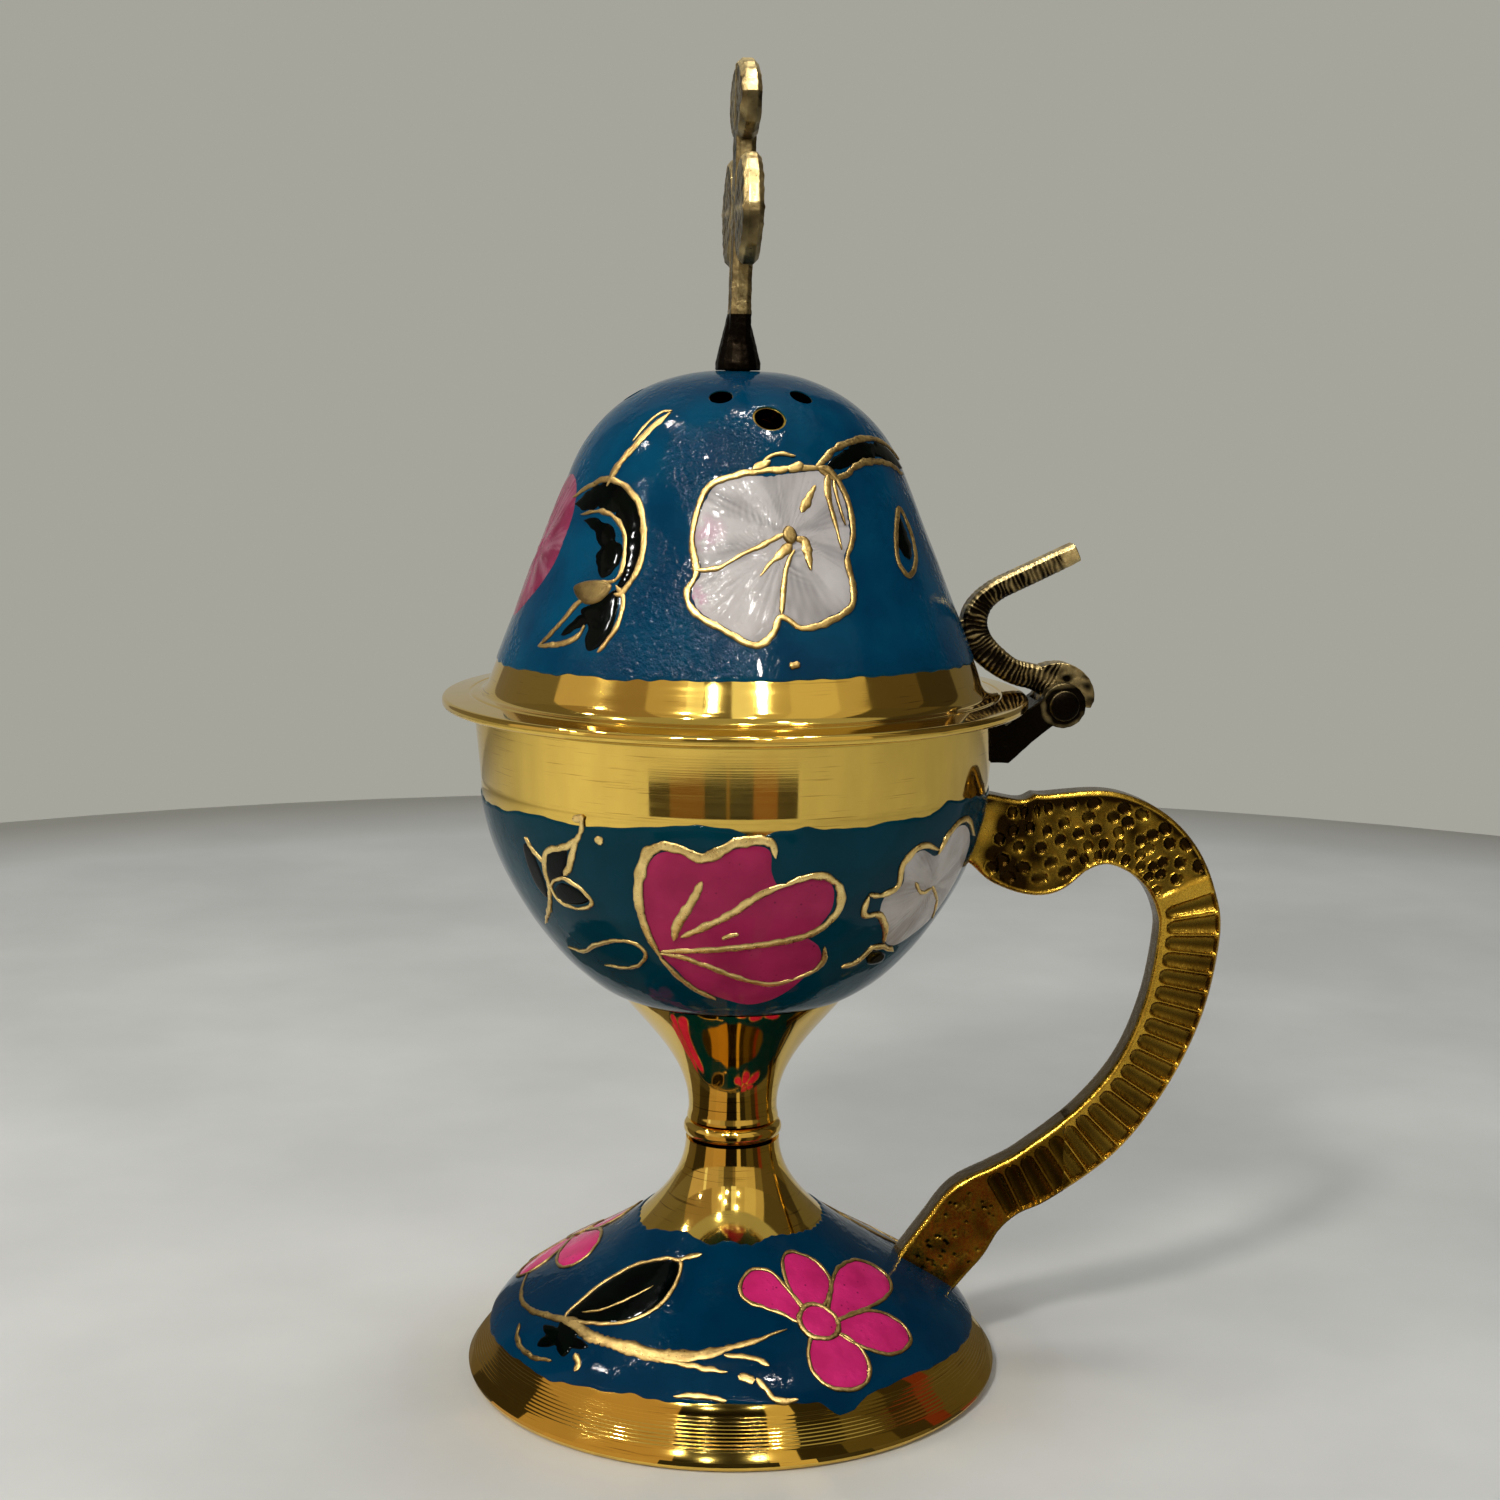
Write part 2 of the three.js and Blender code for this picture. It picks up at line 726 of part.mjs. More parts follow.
function makeLever() {
  const spine = new THREE.CatmullRomCurve3(
    leverShares.map(([x, z, thickness]) => new THREE.Vector3(
      pinX + x * lever.reach,
      pinZ + z * lever.rise,
      (thickness * lever.thickness) / 2,
    )),
  );
  const side = lever.width / 2;
  const stations = spine.getSpacedPoints(28).map(({ x, y, z }) => {
    const inset = (z - lever.edge) / z;
    return {
      centre: point(x, y),
      halfWidth: z,
      section: [
        [-1, -side + lever.edge],
        [-inset, -side],
        [inset, -side],
        [1, -side + lever.edge],
        [1, side - lever.edge],
        [inset, side],
        [-inset, side],
        [-1, side - lever.edge],
      ],
    };
  });
  const camPoints = [];
  const camSteps = 10;
  for (let step = 0; step <= camSteps; step += 1) {
    const share = step / camSteps;
    const angle = THREE.MathUtils.lerp(lever.noseAngle, lever.camAngle, share);
    const radius = THREE.MathUtils.lerp(lever.noseRadius, lever.camRadius, Math.sqrt(share));
    camPoints.push(along(point(pinX, pinZ), angle, radius));
  }
  const cam = new THREE.Shape([point(pinX, pinZ), ...camPoints]);
  const padEnd = pinX - lever.reach;
  const pad = new THREE.BoxGeometry(2 * overrun, lever.padWidth, lever.padHeight);
  pad.translate(padEnd - overrun, 0, pinZ + leverPadShare * lever.rise);
  return made(
    swept(stations),
    [plate(cam, lever.width), rod(lever.eyeRadius, lever.width, pinX, pinZ), pad],
    [rod(pinBore, lever.width + overrun, pinX, pinZ), filled(moved(lidOuter, -seatGap))],
  );
}

// The handle: ribs scooped across both faces of its grip

/** Places along the handle as shares of its length, with the depth share of the scoop there. */
function handleStations() {
  const places = [];
  const plainSteps = 14;
  for (let step = 0; step < plainSteps; step += 1) places.push([(step / plainSteps) * ribStartShare, 0]);
  const pitch = (ribEndShare - ribStartShare) / handle.ribs;
  for (let rib = 0; rib < handle.ribs; rib += 1) {
    for (const [share, depth] of scoopShares) places.push([ribStartShare + (rib + share) * pitch, depth]);
  }
  const endSteps = 6;
  for (let step = 0; step <= endSteps; step += 1) {
    places.push([THREE.MathUtils.lerp(ribEndShare, 1, step / endSteps), 0]);
  }
  return places;
}

function makeHandle() {
  const handleX = bowl.rimRadius + handle.reach;
  const crestZ = rimTop - handle.crestDrop;
  const spine = new THREE.CatmullRomCurve3(
    handleShares.map(([x, z, width]) => new THREE.Vector3(
      x * handleX,
      z * crestZ,
      (width * handle.width) / 2,
    )),
  );
  const face = handle.thickness / 2;
  const stations = handleStations().map(([share, depth]) => {
    const { x, y, z } = spine.getPointAt(share);
    const inset = (z - handle.edge) / z;
    const border = (z - handle.ribBorder) / z;
    const scooped = face - depth * handle.ribDepth;
    const side = face - handle.edge;
    return {
      centre: point(x, y),
      halfWidth: z,
      section: [
        [-1, -side],
        [-inset, -face],
        [-border, -scooped],
        [inset, -scooped],
        [1, -side],
        [1, side],
        [inset, scooped],
        [-border, scooped],
        [-inset, face],
        [-1, side],
      ],
    };
  });
  return made(
    swept(stations),
    [],
    [filled(moved(bowlOuter, -seatGap)), filled([point(foot.lipRadius, 0), ...moved(footOuter, -seatGap)])],
  );
}

const base = new THREE.Group();
base.add(
  piece('foot', makeFoot(), 'enamel'),
  piece('knop_ring', makeRing(), 'polished'),
  piece('stem_trumpet', makeStem(), 'polished'),
  piece('bowl', makeBowl(), 'enamel'),
  piece('stem_bolt', makeBolt(), 'steel'),
  piece('bowl_washer', washer(bowlWasher, bolt.bore, bowlWasherBase), 'steel'),
  piece('foot_washer', washer(footWasher, bolt.bore, footWasherBase), 'steel'),
  piece('foot_nut', makeNut(footNut, bolt.bore, footNutBase), 'steel'),
  piece('hinge_bracket', makeBracket(), 'antique'),
  piece('hinge_pin', makePin(), 'antique'),
  piece('handle', makeHandle(), 'gilded'),
);

const lidGroup = new THREE.Group();
lidGroup.add(
  piece('lid_shell', makeLid(), 'enamel'),
  piece('cross_finial', makeCross(), 'antique'),
  piece('cross_washer', washer(crossWasher, cross.tenonBore, crossWasherBase), 'polished'),
  piece('cross_nut', makeNut(crossNut, cross.tenonBore, crossNutBase), 'polished'),
  piece('thumb_lever', makeLever(), 'antique'),
);

const censer = new THREE.Group();
censer.add(base, lidGroup, piece('ember_pan', makePan(), 'polished'));

// The origin is on the resting plane, under the middle of the whole censer's box
const extent = new THREE.Box3().setFromObject(censer);
censer.position.x = -(extent.min.x + extent.max.x) / 2;

export default censer;
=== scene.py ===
import logging
import math
from dataclasses import dataclass
from enum import Enum

import bmesh
import bpy
import numpy as np
from mathutils import Matrix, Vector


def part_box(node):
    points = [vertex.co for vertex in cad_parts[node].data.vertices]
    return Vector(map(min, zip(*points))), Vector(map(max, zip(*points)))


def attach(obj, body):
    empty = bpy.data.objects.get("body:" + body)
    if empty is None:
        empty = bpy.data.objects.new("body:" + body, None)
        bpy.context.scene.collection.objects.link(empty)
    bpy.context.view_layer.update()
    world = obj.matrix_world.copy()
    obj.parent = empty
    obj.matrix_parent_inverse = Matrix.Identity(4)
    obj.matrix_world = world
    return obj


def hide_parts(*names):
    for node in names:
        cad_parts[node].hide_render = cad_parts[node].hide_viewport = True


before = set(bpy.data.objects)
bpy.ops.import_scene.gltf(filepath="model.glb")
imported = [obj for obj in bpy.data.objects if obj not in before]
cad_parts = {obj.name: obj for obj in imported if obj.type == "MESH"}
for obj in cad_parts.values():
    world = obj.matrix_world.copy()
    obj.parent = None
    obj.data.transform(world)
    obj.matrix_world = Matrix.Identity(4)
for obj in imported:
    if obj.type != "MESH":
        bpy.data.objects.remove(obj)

# A footed hand censer of enamelled brass. Sizes are millimetres from the bowl's upright axis,
# angles are degrees round it (-90 faces the camera), and meshes are made in metres.

Array = np.ndarray
MM = 0.001
TINY = 1e-9
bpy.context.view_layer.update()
BOWL_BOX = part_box("bowl")
AXIS = np.array([(BOWL_BOX[0].x + BOWL_BOX[1].x) / 2, 0.0, 0.0])
SEAT_GAP = 0.2
CREASE = 38.0
LATHE_CREASE = 30.0
CAST_CREASE = 60.0

log = logging.getLogger("censer")


class Ends(Enum):
    """How rows of points close into a surface without an edge."""

    RING = "the last row joins the first"
    POLES = "the first and the last row each close to a point"


class Body(Enum):
    """The rigid bodies that a piece can ride on."""

    BASE = "base"
    LID = "lid"
    PAN = "pan"


class Slot(Enum):
    """The record's material slots."""

    ENAMEL = "enamelled_brass"
    POLISHED = "polished_brass"
    GILDED = "gilded_brass"
    ANTIQUE = "antique_brass"
    STEEL = "plated_steel"
    MAGENTA = "magenta_enamel"
    WHITE = "white_enamel"
    DARK = "dark_enamel"


@dataclass(frozen=True)
class Wave:
    """One layer of fine unevenness: the size of its swells in millimetres, and how it is drawn.

    stretch draws it out along the axes; depth, in millimetres, and strength say what it does as a bump.
    """

    size: float
    detail: float
    stretch: tuple = (1, 1, 1)
    rough: float = 0.5
    depth: float = 0.0
    strength: float = 1.0


class Grain(Enum):
    """The fine marks that the making leaves on a metal.

    Each is the wave that the roughness follows, the wave's range, the shares of the roughness at its
    ends, and the waves of the surface from the lowest layer up.
    """

    TURNED = (Wave(3.0, 3, (4, 4, 0.3)), (0.3, 0.75), (0.7, 1.6),
              (Wave(0.5, 4, (60, 60, 0.35), depth=0.002, strength=0.6),))
    CAST = (Wave(0.35, 3), (0.3, 0.7), (0.75, 1.5),
            (Wave(1.6, 4, rough=0.55, depth=0.14, strength=0.9), Wave(0.35, 3, depth=0.03, strength=0.7)))
    DRAWN = (Wave(0.4, 3), (0.3, 0.7), (0.8, 1.3), (Wave(0.4, 3, depth=0.01, strength=0.5),))


# Surfaces as arrays


@dataclass
class Surface:
    """A closed surface.

    points is (n, 3) in millimetres, faces holds index arrays of three or four columns, and
    relief has a value per point, from 0 in a hollow to 1 on a ridge; on some pieces it also
    carries painted shade at its low end and painted light at its high end.
    """

    points: Array
    faces: list[Array]
    relief: Array


def signed_volume(points: Array, faces: list[Array]) -> float:
    """The volume inside a surface: the sum of a . (b x c) / 6 over its triangles."""
    total = 0.0
    for group in faces:
        for k in range(1, group.shape[1] - 1):
            a, b, c = points[group[:, 0]], points[group[:, k]], points[group[:, k + 1]]
            total += float(np.einsum("ij,ij->", a, np.cross(b, c))) / 6
    return total


def close_rows(rows: Array, ends: Ends, relief: Array | None = None) -> Surface:
    """Joins rows of points, each running once round, into a closed surface that faces out.

    Args:
        rows: (rows, columns, 3) points; a face joins (i, j), (i, j + 1), (i + 1, j + 1), (i + 1, j).
        ends: how the first and last rows close.
        relief: (rows, columns) values, or None for an even surface.

    Returns:
        The surface.
    """
    values = np.full(rows.shape[:2], 0.5) if relief is None else relief
    grid = np.arange(values.size).reshape(values.shape)
    here = grid if ends is Ends.RING else grid[:-1]
    below = np.roll(grid, -1, axis=0) if ends is Ends.RING else grid[1:]
    corners = [here, np.roll(here, -1, axis=1), np.roll(below, -1, axis=1), below]
    points, values = rows.reshape(-1, 3), values.ravel()
    faces = [np.stack(corners, axis=-1).reshape(-1, 4)]
    if ends is Ends.POLES:
        pole = np.full(grid.shape[1], len(points))
        faces.append(np.stack([pole, np.roll(grid[0], -1), grid[0]], axis=-1))
        faces.append(np.stack([pole + 1, grid[-1], np.roll(grid[-1], -1)], axis=-1))
        points = np.vstack([points, rows[0].mean(axis=0), rows[-1].mean(axis=0)])
        values = np.append(values, [values[grid[0]].mean(), values[grid[-1]].mean()])
    if signed_volume(points, faces) < 0:
        faces = [group[:, ::-1] for group in faces]
    return Surface(points, faces, values)


def merged(surfaces: list[Surface]) -> Surface:
    """Several surfaces as one, each still closed by itself."""
    starts = np.cumsum([0] + [len(s.points) for s in surfaces[:-1]])
    faces = [group + start for s, start in zip(surfaces, starts) for group in s.faces]
    points = np.vstack([s.points for s in surfaces])
    return Surface(points, faces, np.concatenate([s.relief for s in surfaces]))


def ripple(points: Array, size: float, seed: int, waves: int = 9) -> Array:
    """Smooth seeded unevenness from about -1 to 1: the mean of sines along random directions.

    Args:
        points: (..., 3) places in millimetres.
        size: the usual distance between two swells.
        seed: the random seed.
        waves: how many sines are summed.

    Returns:
        One value per place.
    """
    draw = np.random.default_rng(seed)
    ways = draw.normal(size=(waves, 3))
    ways *= 2 * math.pi / size / np.linalg.norm(ways, axis=1, keepdims=True)
    phases = draw.uniform(0, 2 * math.pi, waves)
    return np.sin(points @ ways.T + phases).sum(axis=-1) / math.sqrt(waves / 2) / 2


def smooth_step(value: Array, low: float, high: float) -> Array:
    """0 below low, 1 above high, and the curve 3t^2 - 2t^3 between them."""
    t = np.clip((value - low) / (high - low), 0, 1)
    return t * t * (3 - 2 * t)


def hump(value: Array, middle: float, width: float) -> Array:
    """1 at the middle, falling off to both sides as exp(-((value - middle) / width)^2)."""
    return np.exp(-(((value - middle) / width) ** 2))


def unit(ways: Array) -> Array:
    """Directions with their lengths made 1."""
    return ways / np.maximum(np.linalg.norm(ways, axis=-1, keepdims=True), TINY)


def left_of(run: Array) -> Array:
    """Flat directions turned a quarter to the left."""
    return np.stack([-run[:, 1], run[:, 0]], axis=1)


def travelled(line: Array) -> Array:
    """The distance along a line from its start to each of its points."""
    return np.concatenate([[0.0], np.cumsum(np.linalg.norm(np.diff(line, axis=0), axis=1))])


def whole_turn(steps: int) -> Array:
    """Even angles of one turn, in radians."""
    return np.linspace(0, 2 * math.pi, steps, endpoint=False)


def swept(radius: Array, turn: Array, height: Array) -> Array:
    """Points from radii, angles in radians and heights."""
    return np.stack([radius * np.cos(turn), radius * np.sin(turn), height + 0 * turn], axis=-1)


def put(name: str, data: bpy.types.ID) -> bpy.types.Object:
    """A new object of the scene that carries a mesh, a lamp or a camera."""
    made = bpy.data.objects.new(name, data)
    bpy.context.scene.collection.objects.link(made)
    return made


def pose(thing: bpy.types.Object, side: Array, top: Array, back: Array, place: Array) -> None:
    """Turns and moves a lamp or camera: where its own axes point, and its place in metres."""
    columns = np.column_stack([side, top, back, place])
    thing.matrix_world = Matrix(np.vstack([columns, [0, 0, 0, 1]]).tolist())


def make_mesh(name: str, surface: Surface, crease: float) -> bpy.types.Mesh:
    """A Blender mesh of a surface, in metres in the part's frame.

    Args:
        name: the mesh's name.
        surface: what it holds.
        crease: the angle in degrees past which an edge stays sharp.

    Returns:
        The mesh, with the relief as a point attribute.
    """
    mesh = bpy.data.meshes.new(name)
    totals = np.concatenate([np.full(len(g), g.shape[1]) for g in surface.faces])
    starts = np.concatenate([[0], np.cumsum(totals)[:-1]])
    loops = np.concatenate([g.ravel() for g in surface.faces])
    mesh.vertices.add(len(surface.points))
    mesh.vertices.foreach_set("co", (surface.points * MM + AXIS).ravel())
    mesh.loops.add(len(loops))
    mesh.loops.foreach_set("vertex_index", loops.astype(np.int32))
    mesh.polygons.add(len(totals))
    mesh.polygons.foreach_set("loop_start", starts.astype(np.int32))
    mesh.polygons.foreach_set("use_smooth", np.ones(len(totals), bool))
    mesh.update(calc_edges=True)
    mesh.attributes.new("relief", "FLOAT", "POINT")
    mesh.attributes["relief"].data.foreach_set("value", surface.relief.astype(np.float32))
    mesh.validate()
    mesh.set_sharp_from_angle(angle=math.radians(crease))
    return mesh


def add_piece(
    name: str,
    surface: Surface,
    finish: "Finish",
    body: Body,
    slot: Slot,
    replaced: tuple[str, ...] = (),
    crease: float = CREASE,
) -> bpy.types.Object:
    """Puts a surface into the scene as a finished piece of the censer.

    Args:
        name: the piece's name.
        surface: its closed surface.
        finish: its finish.
        body: the body that it moves with.
        slot: the record's slot that its finish comes from; not used.
        replaced: the CAD nodes that it stands for.
        crease: the angle in degrees past which an edge stays sharp.

    Returns:
        The piece.
    """
    piece = put(name, make_mesh(name, surface, crease))
    piece.data.materials.append(finish.material())
    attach(piece, body.value)
    if replaced:
        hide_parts(*replaced)
    log.info("%s: %d points on %s", name, len(surface.points), body.value)
    return piece


def levels(node: str) -> tuple[float, float]:
    """The heights, in millimetres, between which a CAD node lies."""
    low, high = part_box(node)
    return low.z / MM, high.z / MM


# Lines, profiles and the maps of the turned bodies


def bend(start: Array, start_angle: float, start_reach: float,
         end: Array, end_angle: float, end_reach: float, steps: int = 24) -> Array:
    """A cubic curve that leaves start and arrives at end in given directions.

    The four control points are start, start plus its reach, end minus its reach, and end.

    Returns:
        (steps + 1, 2) points.
    """
    leave, arrive = math.radians(start_angle), math.radians(end_angle)
    first, last = np.asarray(start, float), np.asarray(end, float)
    second = first + start_reach * np.array([math.cos(leave), math.sin(leave)])
    third = last - end_reach * np.array([math.cos(arrive), math.sin(arrive)])
    t = np.linspace(0, 1, steps + 1)[:, None]
    u = 1 - t
    return u**3 * first + 3 * u**2 * t * second + 3 * u * t**2 * third + t**3 * last


def spline(knots: Array, steps: int, closed: bool) -> Array:
    """A Catmull-Rom curve through knots.

    Between two knots it is a cubic whose slopes there are half the step between their neighbours.

    Args:
        knots: (n, d) points.
        steps: points per stretch.
        closed: whether the last knot runs on to the first.

    Returns:
        The points of the curve.
    """
    knots = np.asarray(knots, float)
    if closed:
        padded = np.vstack([knots[-1], knots, knots[:2]])
    else:
        padded = np.vstack([2 * knots[0] - knots[1], knots, 2 * knots[-1] - knots[-2]])
    t = np.arange(steps)[:, None] / steps
    a, b, c, d = (padded[k : len(padded) - 3 + k, None] for k in range(4))
    curve = b + t * (c - a) / 2 + t**2 * (a - 2.5 * b + 2 * c - d / 2) + t**3 * (1.5 * (b - c) + (d - a) / 2)
    points = curve.reshape(-1, knots.shape[1])
    return points if closed else np.vstack([points, knots[-1]])


def moved(line: Array, distance: float) -> Array:
    """A line of (radius, height) points moved square to itself, to its left."""
    return line + distance * left_of(unit(np.gradient(line, axis=0)))


def turned(outline: Array, columns: int, ends: Ends = Ends.RING) -> Surface:
    """The solid that an outline of (radius, height) points sweeps round the axis."""
    return close_rows(swept(outline[:, :1], whole_turn(columns), outline[:, 1:]), ends)


class Profile:
    """The outer line of a turned body, from its foot up, read by distance along it."""

    def __init__(self, points: Array) -> None:
        """Keeps (n, 2) points of radius and height."""
        self.points = points
        self.distance = travelled(points)

    @property
    def length(self) -> float:
        """The whole line's length."""
        return float(self.distance[-1])

    def at(self, rise: Array) -> tuple[Array, Array]:
        """The radius and height at distances along the line."""
        radius = np.interp(rise, self.distance, self.points[:, 0])
        return radius, np.interp(rise, self.distance, self.points[:, 1])

    def outward(self, rise: Array, reach: float = 0.25) -> tuple[Array, Array]:
        """The outward direction there, as shares along the radius and up."""
        high, low = self.at(rise + reach), self.at(rise - reach)
        across, up = high[0] - low[0], high[1] - low[1]
        length = np.maximum(np.hypot(across, up), TINY)
        return up / length, -across / length


@dataclass(frozen=True)
class Chart:
    """The outer face of a turned body as a map of angles and distances up its profile.

    Enamel and metal lines are laid on it: coats, patches with a domed face, and raised lines.
    """

    profile: Profile
    coat_lift: float = 0.16
    coat_border: tuple = (0, 0.05, 0.14, 0.28, 0.45)
    coat_inset: float = 0.6
    coat_swell: float = 0.18
    coat_root: float = 0.25
    patch_lift: float = 0.3
    patch_rows: int = 22
    patch_steps: int = 14
    fold_sway: float = 1.4
    brush: tuple = (9, 0.8)
    line_lift: float = 0.2
    line_steps: int = 10
    line_section: int = 14
    line_flatness: float = 0.75
    line_wander: tuple = (0.09, 1.7)
    line_waver: tuple = ((0.2, 2.6), (0.14, 0.9))
    crest_waver: float = 0.12
    root: float = 0.2

    def place(self, angle: Array, rise: Array, lift: Array | float = 0.0) -> Array:
        """Points at angles and distances up the profile, raised square to the face by lift."""
        radius, height = self.profile.at(rise)
        out, up = self.profile.outward(rise)
        return swept(radius + out * lift, np.radians(angle), height + up * lift)

    def coat(self, lower: list, upper: list, columns: int = 480, rows: int = 56) -> Surface:
        """A thin layer round the body between two uneven edges, with rounded borders.

        Its thickness follows a quarter circle within the border and is even past it, with a
        slight swell; its underside lies in the metal.

        Args:
            lower: (angle, rise) knots of its lower edge, by rising angle over a whole turn.
            upper: the same for its upper edge.
            columns: steps round the body.
            rows: steps between the borders.

        Returns:
            The layer.
        """
        angle = np.linspace(-180, 180, columns, endpoint=False)
        low, high = edge_line(lower, angle, 11), edge_line(upper, angle, 12)
        border = np.array(self.coat_border)
        inner_low, inner_high = low + self.coat_inset, high - self.coat_inset
        middle = inner_low + np.linspace(0, 1, rows)[:, None] * (inner_high - inner_low)
        rise = np.vstack([low + border[:, None], middle, high - border[::-1, None]])
        depth = np.clip(np.minimum(rise - low, high - rise) / border[-1], 0, 1)
        swell = ripple(self.place(angle, rise), 7.0, 5)
        lift = self.coat_lift * (np.sqrt(1 - (1 - depth) ** 2) + self.coat_swell * depth * swell)
        back = low + np.linspace(1, 0, rows // 4)[:, None] * (high - low)
        layer = [self.place(angle, rise, lift), self.place(angle, back, -self.coat_root)]
        return close_rows(np.vstack(layer), Ends.RING)

    def patch(self, outline: list, turn: float = 0.0, lift: float | None = None,
              root: tuple | None = None, folds: int = 0, fold_depth: float = 0.06,
              streaks: float = 0.0) -> Surface:
        """A domed patch of enamel inside a closed outline.

        A point is the outline's middle plus a share of the way to its edge. The face keeps its
        height over the patch and falls to the body at the border, as (1 - share^8)^(1/2). Folds
        run out from the root as a cosine of the direction with a slow sway, and the brush's
        streaks as a fine ripple of it.

        Args:
            outline: (angle, rise) knots.
            turn: degrees by which it is turned round the body.
            lift: the face's height, or None for the usual one.
            root: the (angle, rise) that the folds run out from.
            folds: how many folds fill a whole turn about the root.
            fold_depth: how deep they are.
            streaks: the share of the relief that is streaks.

        Returns:
            The patch.
        """
        border = spline(outline, self.patch_steps, closed=True) + [turn, 0]
        centre = border.mean(axis=0)
        share = np.sin(np.linspace(0.03, math.pi / 2, self.patch_rows))[:, None]
        angle = centre[0] + share * (border[:, 0] - centre[0])
        rise = centre[1] + share * (border[:, 1] - centre[1])
        height = self.patch_lift if lift is None else lift
        raised = height * np.sqrt(1 - share**8) + 0 * angle
        relief = np.full(angle.shape, 0.5)
        if root is not None:
            reach = math.radians(1) * self.profile.at(root[1])[0]
            way = np.arctan2(rise - root[1], (angle - root[0] - turn) * reach)
            relief = 0.5 + 0.5 * np.cos(folds * way + self.fold_sway * np.sin(2 * way + 0.6))
            hairs = ripple(swept(self.brush[0], way, 2 * share), self.brush[1], 17)
            relief = relief * (1 - streaks) + streaks * (0.5 + 0.5 * hairs)
            raised += fold_depth * (relief - 0.5) * (1 - share**6)
        under = self.place(angle[::-4], rise[::-4], -self.root)
        values = np.vstack([relief, np.full(under.shape[:2], 0.5)])
        return close_rows(np.vstack([self.place(angle, rise, raised), under]), Ends.POLES, values)

    def line(self, path: list, width: float = 0.0, turn: float = 0.0, closed: bool = False,
             crest: float | None = None, seed: int = 1) -> Surface:
        """A raised, nearly flat-topped line along a path on the body.

        Its section is a superellipse over the body and a shallow half ellipse under it. An open
        line narrows at its ends as (1 - |2t - 1|^5)^(1/2), and its width wavers a little.

        Args:
            path: (angle, rise) knots, or (angle, rise, width) knots where the width changes.
            width: its width, where the knots give none.
            turn: degrees by which it is turned round the body.
            closed: whether it runs back to its start.
            crest: its height over the body, or None for the usual one.
            seed: the random seed of its waver.

        Returns:
            The line.
        """
        middle = spline([(*knot, width)[:3] for knot in path], self.line_steps, closed) + [turn, 0, 0]
        aside, size = self.line_wander
        middle[:, 1] += aside * ripple(self.place(middle[:, 0], middle[:, 1]), size, seed + 100)
        radius = self.profile.at(middle[:, 1])[0]
        if closed:
            step = np.roll(middle, -1, axis=0) - np.roll(middle, 1, axis=0)
        else:
            step = np.gradient(middle, axis=0)
        run = unit(np.stack([np.radians(step[:, 0]) * radius, step[:, 1]], axis=1))
        share = np.linspace(0, 1, len(middle))
        places = self.place(middle[:, 0], middle[:, 1])
        waver = np.ones(len(middle))
        for number, (depth, size) in enumerate(self.line_waver):
            waver += depth * ripple(places, size, seed + 50 * number)
        taper = 1.0 if closed else np.sqrt(np.clip(1 - np.abs(2 * share - 1) ** 5, 0.02, 1))
        half = (middle[:, 2] / 2 * waver * taper)[:, None]
        section = whole_turn(self.line_section)
        cosine, sine = np.cos(section), np.sin(section)
        across = np.sign(cosine) * np.abs(cosine) ** self.line_flatness * half
        height = self.coat_lift + self.line_lift if crest is None else crest
        top = height * (1 + self.crest_waver * (waver - 1))[:, None] * np.abs(sine) ** 0.5
        lift = np.where(sine > 0, top, self.root * sine)
        angle = middle[:, :1] - np.degrees(run[:, 1:] * across / radius[:, None])
        rows = self.place(angle, middle[:, 1:2] + run[:, :1] * across, lift)
        # The crest is 1 and the flanks 0; the metal darkens the flanks as painted shade.
        relief = np.clip(sine, 0, 1) + 0 * half
        return close_rows(rows, Ends.RING if closed else Ends.POLES, relief)

    def strokes(self, paths: list, turn: float, crest: float | None = None, seed: int = 0) -> list[Surface]:
        """An open line for each (path, width), with seeds that count up from the first one's."""
        return [self.line(path, width, turn, crest=crest, seed=seed + number)
                for number, (path, width) in enumerate(paths)]


def edge_line(knots: list, angle: Array, seed: int) -> Array:
    """An uneven edge round a body: straight between its knots, with a fine seeded waver."""
    pairs = np.asarray(knots, float)
    line = np.interp(angle, pairs[:, 0], pairs[:, 1], period=360)
    ring = swept(30, np.radians(angle), 0)
    return line + 0.16 * ripple(ring, 2.6, seed) + 0.12 * ripple(ring, 6.0, seed + 5)


def buried(points: Array, profile: Profile, depth: float) -> Array:
    """Brings up what lies too deep under a turned body's face.

    A point's depth is its distance along the outward direction at the nearest place of the
    profile. One that is deeper than the limit is moved along that direction, up to the limit.

    Args:
        points: (..., 3) places.
        profile: the body's outer line.
        depth: the limit.

    Returns:
        The places, moved where needed.
    """
    flat = points.reshape(-1, 3)
    radius = np.hypot(flat[:, 0], flat[:, 1])
    near = np.flatnonzero(radius < profile.points[:, 0].max() + 1)
    rise = np.linspace(0, profile.length, 260)
    line_radius, line_height = profile.at(rise)
    out, up = profile.outward(rise)
    gap_radius = radius[near, None] - line_radius
    gap_height = flat[near, 2:] - line_height
    closest = np.argmin(gap_radius**2 + gap_height**2, axis=1)
    rows = np.arange(len(near))
    over = gap_radius[rows, closest] * out[closest] + gap_height[rows, closest] * up[closest]
    push = np.clip(-depth - over, 0, None)
    result = flat.copy()
    stretch = (radius[near] + push * out[closest]) / np.maximum(radius[near], TINY)
    result[near, :2] *= stretch[:, None]
    result[near, 2] += push * up[closest]
    return result.reshape(points.shape)


